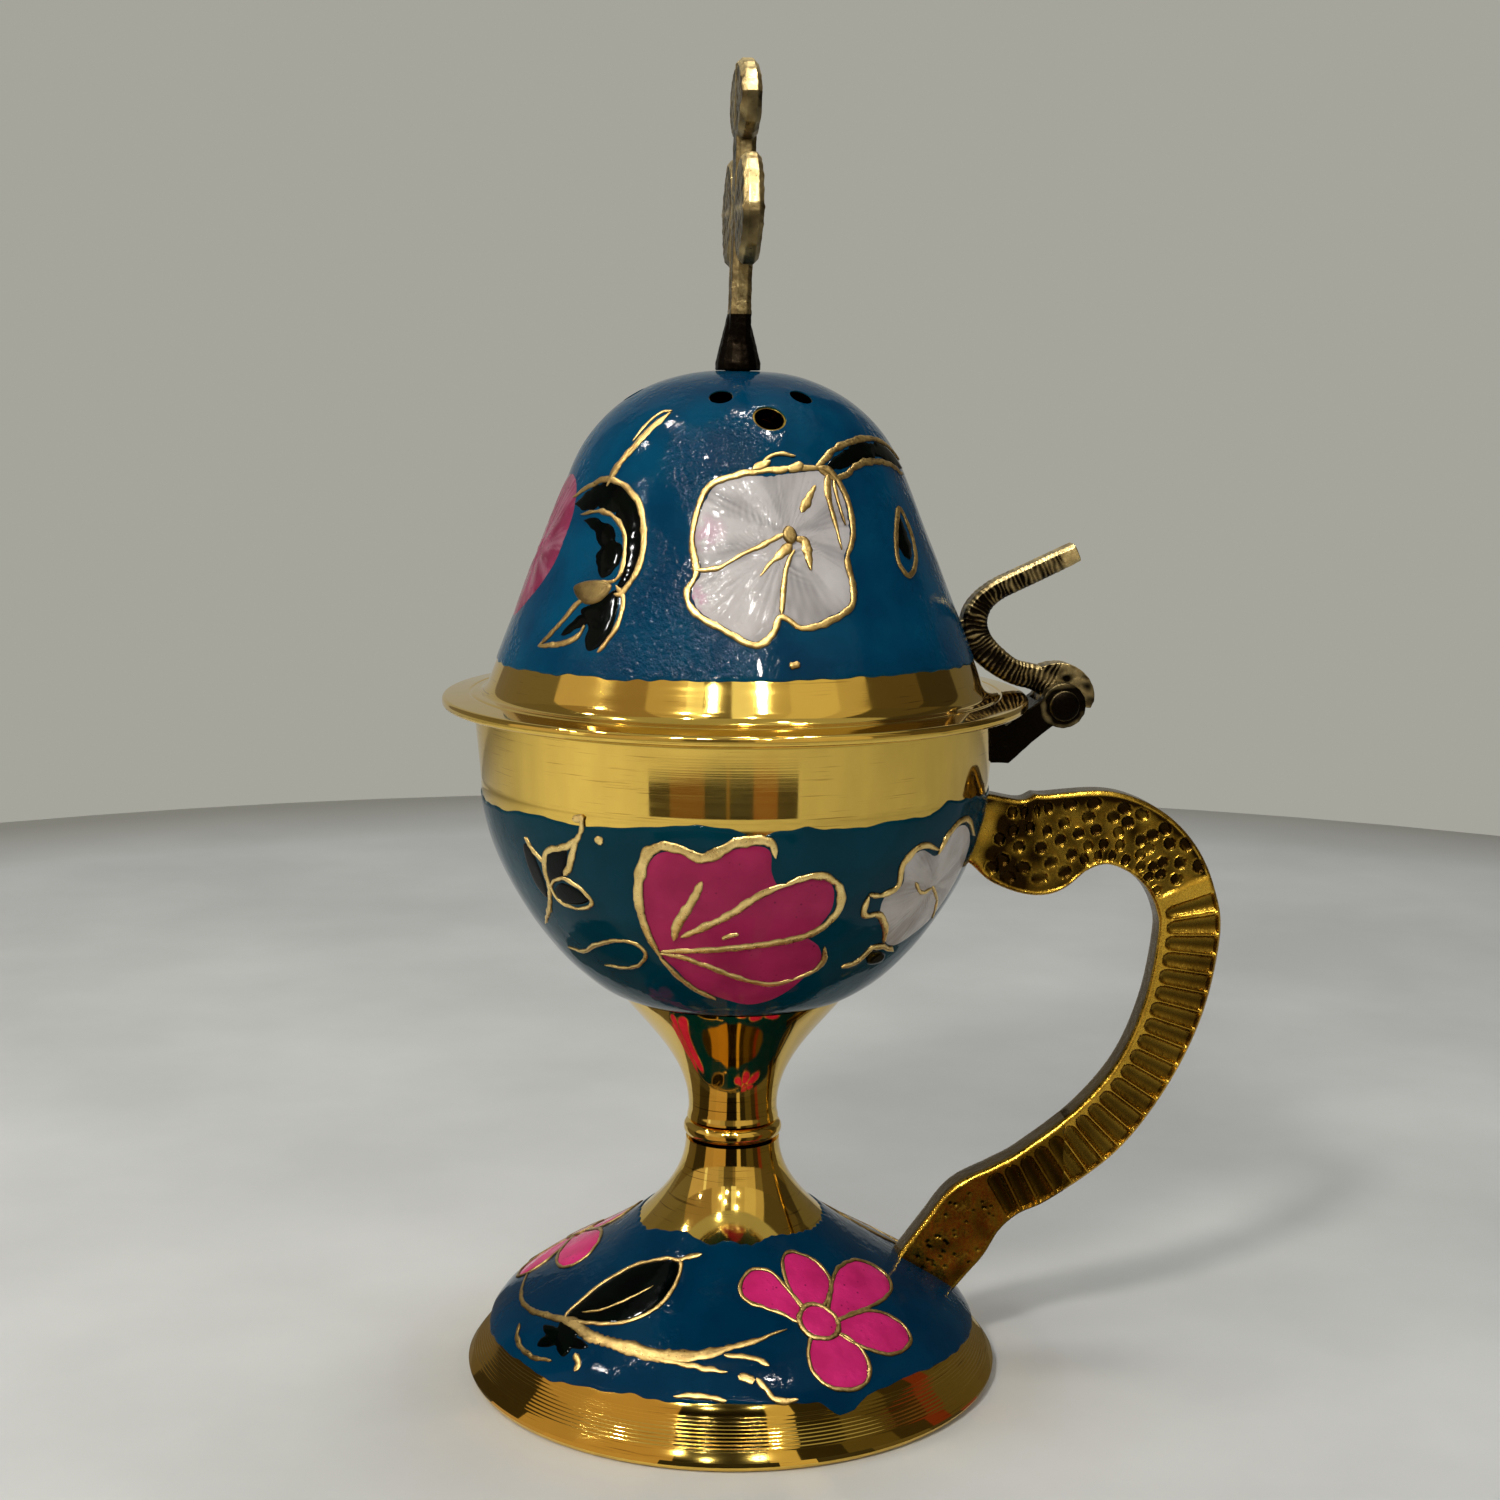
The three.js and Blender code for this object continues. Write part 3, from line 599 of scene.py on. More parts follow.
def cast_copy(node: str, voxel: float, smoothing: int) -> tuple[Surface, Array]:
    """A fine, soft-edged copy of a CAD node, as a casting has it.

    The node's loose triangles are merged, remeshed in cubes of one size and smoothed.

    Args:
        node: the CAD node.
        voxel: the cubes' size in millimetres.
        smoothing: how many rounds of smoothing follow.

    Returns:
        The surface, and the outward direction at each of its points.
    """
    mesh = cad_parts[node].data.copy()
    work = bmesh.new()
    work.from_mesh(mesh)
    bmesh.ops.remove_doubles(work, verts=work.verts, dist=1e-6)
    work.to_mesh(mesh)
    work.free()
    copy = put(f"{node}_blank", mesh)
    remesh = copy.modifiers.new("cubes", "REMESH")
    remesh.mode = "VOXEL"
    remesh.voxel_size = voxel * MM
    smooth = copy.modifiers.new("soften", "SMOOTH")
    smooth.factor = 0.5
    smooth.iterations = smoothing
    ready = copy.evaluated_get(bpy.context.evaluated_depsgraph_get()).to_mesh()
    points = np.empty(len(ready.vertices) * 3, np.float32)
    ready.vertices.foreach_get("co", points)
    normals = np.empty(len(ready.vertices) * 3, np.float32)
    ready.vertex_normals.foreach_get("vector", normals)
    corners = np.empty(len(ready.loops), np.int32)
    ready.loops.foreach_get("vertex_index", corners)
    bpy.data.objects.remove(copy)
    points = (points.reshape(-1, 3).astype(float) - AXIS) / MM
    surface = Surface(points, [corners.reshape(-1, 4)], np.full(len(points), 0.5))
    return surface, normals.reshape(-1, 3).astype(float)


# Finishes


def tint(red: int, green: int, blue: int) -> tuple[float, float, float, float]:
    """A shader colour from the three values that a screen shows, each up to 255."""
    parts = np.array([red, green, blue]) / 255
    linear = np.where(parts <= 0.04045, parts / 12.92, ((parts + 0.055) / 1.055) ** 2.4)
    return (*(float(part) for part in linear), 1.0)


class Nodes:
    """A short way to write a tree of shader nodes."""

    def __init__(self, tree: bpy.types.NodeTree) -> None:
        """Starts with the tree empty."""
        self.tree = tree
        self.tree.nodes.clear()

    def fill(self, made: bpy.types.Node, key: str | int, value: object) -> None:
        """Fills or links one socket of a node."""
        if isinstance(value, bpy.types.NodeSocket):
            self.tree.links.new(value, made.inputs[key])
        else:
            made.inputs[key].default_value = value

    def node(self, kind: str, sockets: dict | None = None, **settings: str) -> bpy.types.NodeOutputs:
        """Adds a node with its properties and its sockets, by name or number; gives its outputs."""
        made = self.tree.nodes.new(f"ShaderNode{kind}")
        for key, value in settings.items():
            setattr(made, key, value)
        for key, value in (sockets or {}).items():
            self.fill(made, key, value)
        return made.outputs

    def maths(self, operation: str, first: object, second: object) -> object:
        """Two values put together by an operation."""
        return self.node("Math", {0: first, 1: second}, operation=operation)[0]


class Shader(Nodes):
    """A material whose principled shader is filled socket by socket."""

    def __init__(self, name: str) -> None:
        """Starts an empty material with a principled shader on its output."""
        self.material = bpy.data.materials.new(name)
        self.material.use_nodes = True
        super().__init__(self.material.node_tree)
        self.surface = self.tree.nodes.new("ShaderNodeBsdfPrincipled")
        self.node("OutputMaterial", {0: self.surface.outputs[0]})
        self.object = self.node("TexCoord")["Object"]

    def set(self, name: str, value: object) -> None:
        """Fills or links one socket of the principled shader."""
        self.fill(self.surface, name, value)

    def noise(self, size: float, detail: float = 3.0, stretch: tuple = (1, 1, 1),
              rough: float = 0.5) -> object:
        """Noise whose swells are about size millimetres apart, drawn out by stretch."""
        mapped = self.node("Mapping", {"Vector": self.object, "Scale": [1 / part for part in stretch]})[0]
        wanted = {"Vector": mapped, "Scale": 1 / (size * MM), "Detail": detail, "Roughness": rough}
        return self.node("TexNoise", wanted)["Fac"]

    def wave(self, wave: Wave) -> object:
        """The noise of one layer of unevenness."""
        return self.noise(wave.size, wave.detail, wave.stretch, wave.rough)

    def cells(self, size: float) -> object:
        """Distance to the nearest of scattered points, about size millimetres apart."""
        return self.node("TexVoronoi", {"Vector": self.object, "Scale": 1 / (size * MM)})["Distance"]

    def ranged(self, value: object, low: float, high: float,
               to_low: float = 0.0, to_high: float = 1.0) -> object:
        """A value carried from one range to another, and held at its ends."""
        return self.node("MapRange", {0: value, 1: low, 2: high, 3: to_low, 4: to_high})[0]

    def mix(self, share: object, first: object, second: object) -> object:
        """A colour between two others."""
        return self.node("Mix", {0: share, 6: first, 7: second}, data_type="RGBA")[2]

    def near(self, x: float, y: float, z: float, reach: float, start: float, most: float) -> object:
        """A value that falls from most to 0 round a place.

        Args:
            x: the place, in millimetres from the bowl's axis.
            y: the same.
            z: the same.
            reach: the distance in millimetres where it is 0.
            start: the share of that distance where it begins to fall.
            most: its value there.

        Returns:
            The value.
        """
        target = tuple(float(part) for part in np.array((x, y, z)) * MM + AXIS)
        gap = self.node("VectorMath", {0: self.object, 1: target}, operation="DISTANCE")["Value"]
        return self.ranged(gap, start * reach * MM, reach * MM, most, 0.0)

    def times(self, first: object, second: object) -> object:
        """The product of two values."""
        return self.maths("MULTIPLY", first, second)

    def relief(self) -> object:
        """The piece's own relief value."""
        return self.node("Attribute", attribute_name="relief")["Fac"]

    def bump(self, height: object, depth: float, strength: float, below: object = None) -> object:
        """A normal from a height, in millimetres, over another normal if there is one."""
        wanted = {"Height": height, "Distance": depth * MM, "Strength": strength}
        if below is not None:
            wanted["Normal"] = below
        return self.node("Bump", wanted)[0]


@dataclass(frozen=True)
class Finish:
    """A named finish, made once and shared by the pieces that wear it."""

    name: str

    def material(self) -> bpy.types.Material:
        """The finish's material; its name ends unlike those of the CAD's own plain materials."""
        name = f"{self.name}_look"
        if name not in bpy.data.materials:
            self.paint(Shader(name))
        return bpy.data.materials[name]

    def paint(self, shader: Shader) -> None:
        """Fills the shader; each kind of finish does it in its own way."""
        raise NotImplementedError


@dataclass(frozen=True)
class Metal(Finish):
    """Brass or steel, dull and dark in its hollows and bright on its ridges: wear, tarnish and painted shade
    and light.
    """

    bright: tuple
    dull: tuple
    hollow: tuple
    roughness: float
    grain: Grain
    tarnish: float = 0.3
    relief_range: tuple = (0.1, 0.8)
    patch_size: float = 9.0
    patch_range: tuple = (0.42, 0.72)
    cut_wave: Wave = Wave(0.3, 2, (30, 30, 0.5))
    cut_range: tuple = (0.63, 0.7)
    cut_share: float = 0.7
    cut_places: tuple = (11, 0.5, 0.6)

    def paint(self, shader: Shader) -> None:
        """Mixes three tones by patches of tarnish and by relief, and adds the grain."""
        patches = shader.noise(self.patch_size, 5, rough=0.6)
        patches = shader.ranged(patches, *self.patch_range, 0.0, self.tarnish)
        tone = shader.mix(patches, self.bright, self.dull)
        # The relief holds wear and tarnish, and on some pieces painted shade where it is low and painted
        # light where it is high.
        wear_and_light = shader.ranged(shader.relief(), *self.relief_range)
        if self.grain is Grain.TURNED:
            size, low, high = self.cut_places
            cuts = shader.ranged(shader.wave(self.cut_wave), *self.cut_range, 0.0, self.cut_share)
            places = shader.ranged(shader.noise(size, 2), low, high)
            tone = shader.mix(shader.times(cuts, places), tone, self.hollow)
        shader.set("Base Color", shader.mix(wear_and_light, self.hollow, tone))
        shader.set("Metallic", 1.0)
        gloss, limits, shares, layers = self.grain.value
        rough = [self.roughness * share for share in shares]
        shader.set("Roughness", shader.ranged(shader.wave(gloss), *limits, *rough))
        normal = None
        for layer in layers:
            normal = shader.bump(shader.wave(layer), layer.depth, layer.strength, normal)
        shader.set("Normal", normal)


@dataclass(frozen=True)
class Enamel(Finish):
    """Glossy enamel: clouds of two tones, dark specks, and a pebbled, brush-laid surface.

    Stains and grit lie round places given as (x, y, z, reach) in millimetres from the bowl's axis.
    """

    light: tuple
    deep: tuple
    speck: tuple
    speck_share: float = 0.1
    cloud: float = 6.0
    pebble: float = 0.035
    fold_tint: tuple | None = None
    stain: tuple | None = None
    stain_places: tuple = ()
    grit_places: tuple = ()
    cloud_range: tuple = (0.38, 0.66)
    fold_share: float = 0.6
    stain_share: float = 0.8
    speck_size: float = 0.9
    speck_range: tuple = (0.06, 0.2)
    roughness: tuple = (0.05, 0.1)
    gloss: float = 0.06
    coat_roughness: float = 0.03
    grit_range: tuple = (0.45, 0.62, 0.06, 0.4)
    waves: Wave = Wave(2.4, 2, depth=0.09, strength=0.8)

    def paint(self, shader: Shader) -> None:
        """Mixes the tones and gives them a glassy coat over a pebbled face."""
        clouds = shader.ranged(shader.noise(self.cloud, 3), *self.cloud_range)
        tone = shader.mix(clouds, self.deep, self.light)
        # On the white enamels the grey fold tint in the troughs and streaks is painted shade; on the pale
        # magenta the fold tint is paler.
        if self.fold_tint is not None:
            folds = shader.ranged(shader.relief(), 0.0, 0.6, self.fold_share, 0.0)
            tone = shader.mix(folds, tone, self.fold_tint)
        for place in self.stain_places:
            blotches = shader.ranged(shader.noise(1.4, 4), 0.4, 0.56)
            near = shader.near(*place, 0.2, self.stain_share)
            tone = shader.mix(shader.times(near, blotches), tone, self.stain)
        specks = shader.ranged(shader.cells(self.speck_size), *self.speck_range, self.speck_share * 6, 0.0)
        gaps = shader.ranged(shader.noise(2.4, 2), 0.5, 0.62)
        shader.set("Base Color", shader.mix(shader.times(specks, gaps), tone, self.speck))
        shader.set("Roughness", shader.ranged(shader.noise(1.8, 3), 0.3, 0.7, *self.roughness))
        shader.set("Specular IOR Level", self.gloss)
        shader.set("Coat Weight", self.gloss)
        shader.set("Coat Roughness", self.coat_roughness)
        grit = shader.ranged(shader.noise(4.0, 2), *self.grit_range)
        for place in self.grit_places:
            grit = shader.maths("MAXIMUM", grit, shader.near(*place, 0.5, 1.0))
        smooth = shader.bump(shader.wave(self.waves), self.waves.depth, self.waves.strength)
        shader.set("Normal", shader.bump(shader.noise(0.85, 2), self.pebble, grit, smooth))


POLISHED = Metal("polished_brass", tint(232, 195, 93), tint(206, 166, 76), tint(120, 84, 30), 0.06,
                 Grain.TURNED, relief_range=(0.0, 0.4))
GILDED = Metal("gilded_cast_brass", tint(206, 164, 58), tint(106, 72, 16), tint(36, 23, 5), 0.24,
               Grain.CAST, 0.7)
# The raised lines' flanks take the hollow tone as painted shade.
LINES = Metal("raised_brass_lines", tint(196, 166, 104), tint(122, 96, 56), tint(40, 29, 14), 0.36,
              Grain.CAST, 0.9, (0.25, 0.95), 2.2)
# The bowl's lines are a lighter copy of the raised lines: painted light.
LIT_BOWL_LINES = Metal("bowl_raised_lines_painted_light", tint(244, 214, 140), tint(188, 152, 84), tint(70, 52, 24), 0.3,
                   Grain.CAST, 0.8, (0.2, 0.9), 2.2)
ANTIQUE = Metal("antique_brass", tint(204, 182, 128), tint(92, 68, 36), tint(14, 10, 6), 0.34,
                Grain.CAST, 0.85, patch_size=4.0)
INSIDE = Metal("unpolished_brass", tint(168, 130, 66), tint(120, 90, 44), tint(70, 50, 24), 0.42,
               Grain.TURNED, 0.8)
STEEL = Metal("plated_steel", tint(196, 196, 192), tint(150, 148, 142), tint(80, 76, 70), 0.28,
              Grain.DRAWN)
TEAL = Enamel("teal_enamel", tint(0, 68, 98), tint(0, 52, 82), tint(0, 36, 60), 0.04, 9.0, 0.42,
              grit_places=((-14, -28, 96, 17), (-17, -20, 108, 9), (-5, -19, 121, 8)))
# The foot's and the bowl's teal are darker copies of the lid's enamel: painted shade under the bowl and under
# the brim.
SHADED_FOOT_TEAL = Enamel("foot_teal_enamel_painted_shade", tint(0, 52, 80), tint(0, 43, 70), tint(0, 26, 48), 0.04, 9.0, 0.3)
SHADED_BOWL_TEAL = Enamel("bowl_teal_enamel_painted_shade", tint(0, 54, 68), tint(0, 46, 58), tint(0, 28, 40), 0.04, 9.0, 0.04)
MAGENTA = Enamel("magenta_enamel", tint(226, 48, 126), tint(202, 38, 108), tint(84, 10, 50), 0.16, 4.0, 0.3)
LID_PINK = Enamel("pale_magenta_enamel", tint(136, 52, 82), tint(116, 40, 66), tint(70, 16, 40), 0.16, 4.0,
                  0.03, tint(160, 116, 130))
BOWL_PINK = Enamel("deep_magenta_enamel", tint(168, 42, 86), tint(148, 34, 74), tint(50, 8, 34), 0.16, 5.0,
                   0.04)
LID_WHITE = Enamel("stained_white_enamel", tint(212, 207, 205), tint(196, 190, 188), tint(150, 120, 130),
                   0.03, 5.0, 0.3, tint(120, 116, 116), tint(200, 130, 166),
                   ((-7.0, -24.6, 113.6, 3.4), (-8.4, -26.0, 105.0, 2.6)))
WHITE = Enamel("white_enamel", tint(196, 190, 184), tint(176, 168, 160), tint(110, 94, 88), 0.05, 5.0,
               0.02, tint(130, 122, 116))
DARK = Enamel("dark_enamel", tint(1, 7, 4), tint(0, 2, 2), tint(0, 2, 2), 0.05, 3.0, 0.03)


# The foot


@dataclass
class Foot:
    """The flared foot: a rolled lip, a turned rim, an enamelled dome and a bare neck."""

    lip_radius: float = 35.2
    lip_height: float = 1.4
    lip_round: float = 0.9
    rest_width: float = 1.4
    rim_radius: float = 32.4
    rim_height: float = 5.8
    waist_radius: float = 14.5
    waist_height: float = 18.8
    neck_radius: float = 6.2
    lip_slope: float = 122.0
    rim_slope: float = 108.0
    dome_slope: float = 105.0
    waist_slope: float = 144.0
    height: float = 31.2
    wall: float = 1.7
    ceiling: float = 21.5
    bore: float = 2.75
    groove_pitch: float = 0.46
    groove_depth: float = 0.07
    groove_start: float = 1.6
    groove_end: float = 5.6
    columns: int = 300
    flower_turns: tuple = (0, -148, 144)
    leaf_turns: tuple = (0, 163)

    def profile(self) -> Profile:
        """The outer line: three bends through the lip, rim, waist and neck."""
        lip, rim = (self.lip_radius, self.lip_height), (self.rim_radius, self.rim_height)
        waist, neck = (self.waist_radius, self.waist_height), (self.neck_radius, self.height)
        parts = [
            bend(lip, self.lip_slope, 1.8, rim, self.rim_slope, 1.8, 60),
            bend(rim, self.dome_slope, 4.2, waist, self.waist_slope, 8.7, 60)[1:],
            bend(waist, self.waist_slope, 3.8, neck, 90, 5.8, 40)[1:],
        ]
        return Profile(np.vstack(parts))

    def shell(self) -> Surface:
        """The whole wall; its rim has turned grooves, a sine square to the face."""
        profile = self.profile()
        start, end = self.groove_start, self.groove_end
        rise = np.concatenate([np.linspace(0, end + 0.4, 110), np.linspace(end + 0.6, profile.length, 90)])
        radius, height = profile.at(rise)
        out, up = profile.outward(rise)
        inside = smooth_step(rise, start - 0.3, start) * (1 - smooth_step(rise, end, end + 0.3))
        groove = -self.groove_depth * inside * (0.5 + 0.5 * np.cos(2 * math.pi * rise / self.groove_pitch))
        outer = np.stack([radius + out * groove, height + up * groove], axis=1)
        rest = (self.lip_radius - self.lip_round, 0)
        rolled = bend(rest, 0, self.lip_round / 2, outer[0], 90, self.lip_height / 2, 10)
        inner = moved(profile.points[::4], self.wall)
        hollow = (inner[:, 1] > self.lip_height + self.wall) & (inner[:, 1] < self.ceiling)
        vault = inner[hollow][::-1]
        bore = [(self.bore, self.height), (self.bore, self.ceiling), (vault[0, 0] - 0.2, self.ceiling)]
        closed = np.vstack([[(rest[0] - self.rest_width, 0)], rolled[:-1], outer, bore, vault])
        return turned(closed, self.columns)

    def build(self) -> None:
        """Makes the shell, its coat, flowers, leaves and lines."""
        add_piece("foot_shell", self.shell(), POLISHED, Body.BASE, Slot.POLISHED, ("foot",), LATHE_CREASE)
        chart = Chart(self.profile())
        lower = [(-176, 5.4), (-155, 6.1), (-140, 6.0), (-130, 6.7), (-121, 7.3), (-112, 6.8), (-100, 7.1),
                 (-87, 6.9), (-77, 6.5), (-73, 4.7), (-69, 4.9), (-65, 6.4), (-54, 6.8), (-42, 6.4),
                 (-12, 5.6), (20, 6.2), (48, 6.9), (66, 5.6), (84, 6.6), (110, 7.2), (140, 6.2), (160, 6.6)]
        upper = [(-159, 30.0), (-144, 30.9), (-128, 31.6), (-110, 30.2), (-102, 31.1), (-86, 30.2),
                 (-71, 31.2), (-38, 30.4), (0, 30.8), (40, 31.4), (90, 30.2), (130, 31.2), (170, 30.6)]
        add_piece("foot_enamel", chart.coat(lower, upper), SHADED_FOOT_TEAL, Body.BASE, Slot.ENAMEL)
        self.flowers(chart)
        self.leaves(chart)

    def flowers(self, chart: Chart) -> None:
        """Five-petalled flowers with a ringed heart, in magenta between brass lines."""
        root = (-69, 17.3)
        petals = [
            [(-74, 17.4), (-80, 19.4), (-86, 20.6), (-92, 22), (-93.6, 24), (-90, 26), (-84, 26.6),
             (-78, 25.6), (-74.4, 23), (-71.6, 19.6)],
            [(-71, 19), (-73.4, 22), (-73.2, 25), (-70.6, 27.6), (-65, 28.4), (-59, 27.6), (-54, 26),
             (-53.6, 23.4), (-58, 21.2), (-66, 19)],
            [(-64, 18.4), (-58, 21), (-52, 23), (-44, 24), (-34, 23.8), (-27.4, 22), (-27, 19.4), (-33, 17.6),
             (-44, 17.1), (-56, 17.2), (-63, 16.8)],
            [(-63, 16.8), (-57, 17), (-50, 16.8), (-45, 15.2), (-43, 12.6), (-46, 10.4), (-53, 10),
             (-59, 11.6), (-65, 15)],
            [(-72, 16), (-76, 13.4), (-76.8, 10.4), (-73.6, 8), (-68, 7.3), (-63.4, 8.2), (-61.2, 10.8),
             (-62.4, 13.6), (-66.4, 15.6)],
        ]
        heart = [(root[0] + 6.2 * math.cos(a), root[1] + 2.7 * math.sin(a)) for a in whole_turn(9)]
        patches, lines = [], []
        for turn in self.flower_turns:
            for number, petal in enumerate(petals):
                patches.append(chart.patch(petal, turn, root=root, folds=11, fold_depth=0.08))
                lines.append(chart.line(petal, 0.55, turn, closed=True, crest=0.37, seed=number))
            patches.append(chart.patch(heart, turn, 0.44))
            lines.append(chart.line(heart, 0.7, turn, closed=True, crest=0.5, seed=9))
        add_piece("foot_petals", merged(patches), MAGENTA, Body.BASE, Slot.MAGENTA)
        add_piece("foot_flower_lines", merged(lines), LINES, Body.BASE, Slot.POLISHED)

    def leaves(self, chart: Chart) -> None:
        """Dark leaves on long stems, splashes and loose strokes between the flowers."""
        leaf = [(-151.5, 14), (-152, 17.2), (-151, 20.6), (-146, 24.2), (-138, 26.2), (-129, 27.2),
                (-122.4, 26.8), (-120.6, 24.2), (-122, 20.8), (-126, 18.2), (-132, 16.2), (-140, 15),
                (-146, 14.2)]
        around = whole_turn(24)
        rays = [1 + 0.26 * math.cos(6 * a) + 0.12 * math.cos(3 * a + 1) for a in around]
        splash = [(-146.4 + 8 * r * math.cos(a), 11.6 + 2.4 * r * math.sin(a)) for a, r in zip(around, rays)]
        vein = [(-147, 15.6), (-141, 17.2), (-135, 20), (-129, 22.6)]
        stem = [(-190, 12.4, 0.7), (-176, 11.5, 0.8), (-166, 11.8, 0.9), (-156, 13, 1.1), (-148, 13.7, 1.5),
                (-138, 13.1, 1.7), (-128, 13.1, 2.0), (-117, 12.7, 2.5), (-107, 13.2, 1.8), (-95, 15, 1.3),
                (-80, 17, 0.7)]
        strokes = [
            ([(-126, 27), (-120, 27.9), (-113, 28.6)], 0.7),
            ([(-119, 12.3), (-112, 12.1), (-105, 11.7), (-98, 11.1)], 0.9),
            ([(-99, 13.6), (-94, 13.4), (-90, 12.8), (-87.5, 11.8)], 0.9),
            ([(-91, 10.2), (-89, 8.8), (-86.5, 7.2), (-82, 7.2)], 0.9),
            ([(-164, 9.6), (-159, 7.9), (-151, 7.5), (-144, 8.2)], 0.7),
            ([(-138.8, 10.2), (-136.4, 9.2), (-136, 8.0)], 1.1),
            ([(-95.4, 10.6), (-91.4, 10)], 1.2),
            ([(-110, 7.6), (-104, 7.9), (-98, 7.4)], 0.8),
        ]
        patches, lines = [], []
        for turn in self.leaf_turns:
            patches += [chart.patch(leaf, turn, root=(-152, 15), folds=7), chart.patch(splash, turn)]
            lines.append(chart.line(leaf, 0.6, turn, closed=True, seed=3))
            lines.append(chart.line(vein, 0.4, turn, crest=0.42))
            lines.append(chart.line(stem if turn == 0 else stem[4:], turn=turn, seed=5))
            lines += chart.strokes(strokes, turn)
        add_piece("foot_leaves", merged(patches), DARK, Body.BASE, Slot.DARK)
        add_piece("foot_stems", merged(lines), LINES, Body.BASE, Slot.POLISHED)


# The stem


@dataclass
class Stem:
    """The bead, the trumpet stem and the screw that ties foot, stem and bowl together."""

    ring_base: float = 31.4
    ring_height: float = 2.4
    ring_radius: float = 6.5
    bore: float = 2.75
    base: float = 34.0
    base_radius: float = 6.05
    neck_radius: float = 5.85
    neck_height: float = 1.4
    mouth_radius: float = 15.0
    mouth_slope: float = 54.0
    wall: float = 1.8
    throat: float = 6.5
    ring_columns: int = 160
    columns: int = 200

    def ring(self) -> Surface:
        """The bead: a half round between two flat faces."""
        half = self.ring_height / 2
        angle = np.radians(np.linspace(-90, 90, 24))
        radius = self.ring_radius - half + half * np.cos(angle)
        bead = np.stack([radius, self.ring_base + half * (1 + np.sin(angle))], axis=1)
        bore = [(self.bore, self.ring_base), (self.bore, self.ring_base + self.ring_height)]
        return turned(np.vstack([bore[:1], bead, bore[1:]]), self.ring_columns)

    def trumpet(self, bowl: Profile) -> Surface:
        """The stem: a bend from the neck out to the bowl's underside, hollow above its throat."""
        under = moved(bowl.points, -SEAT_GAP)[:60]
        lip, throat = self.mouth_radius - self.wall, self.base + self.throat
        mouth_height, lip_height = np.interp([self.mouth_radius, lip], under[:, 0], under[:, 1])
        neck = (self.neck_radius, self.base + self.neck_height)
        outer = bend(neck, 90, 6.9, (self.mouth_radius, mouth_height), self.mouth_slope, 5, 60)
        fillet = bend((self.base_radius, self.base), 95, 0.5, neck, 90, 0.5, 8)
        inner = moved(outer, self.wall)
        keep = (inner[:, 1] > throat) & (inner[:, 0] < lip - 0.1) & (inner[:, 1] < lip_height)
        start, end = [(self.bore, self.base)], [(self.bore, throat)]
        closed = np.vstack([start, fillet[:-1], outer, [(lip, lip_height)], inner[keep][::-1], end])
        return turned(closed, self.columns)

    def build(self, bowl: Profile) -> None:
        """Makes the bead and the trumpet."""
        trumpet = self.trumpet(bowl)
        add_piece("knop_bead", self.ring(), POLISHED, Body.BASE, Slot.POLISHED, ("knop_ring",))
        add_piece("stem_trumpet_fine", trumpet, POLISHED, Body.BASE, Slot.POLISHED, ("stem_trumpet",))


# The bowl


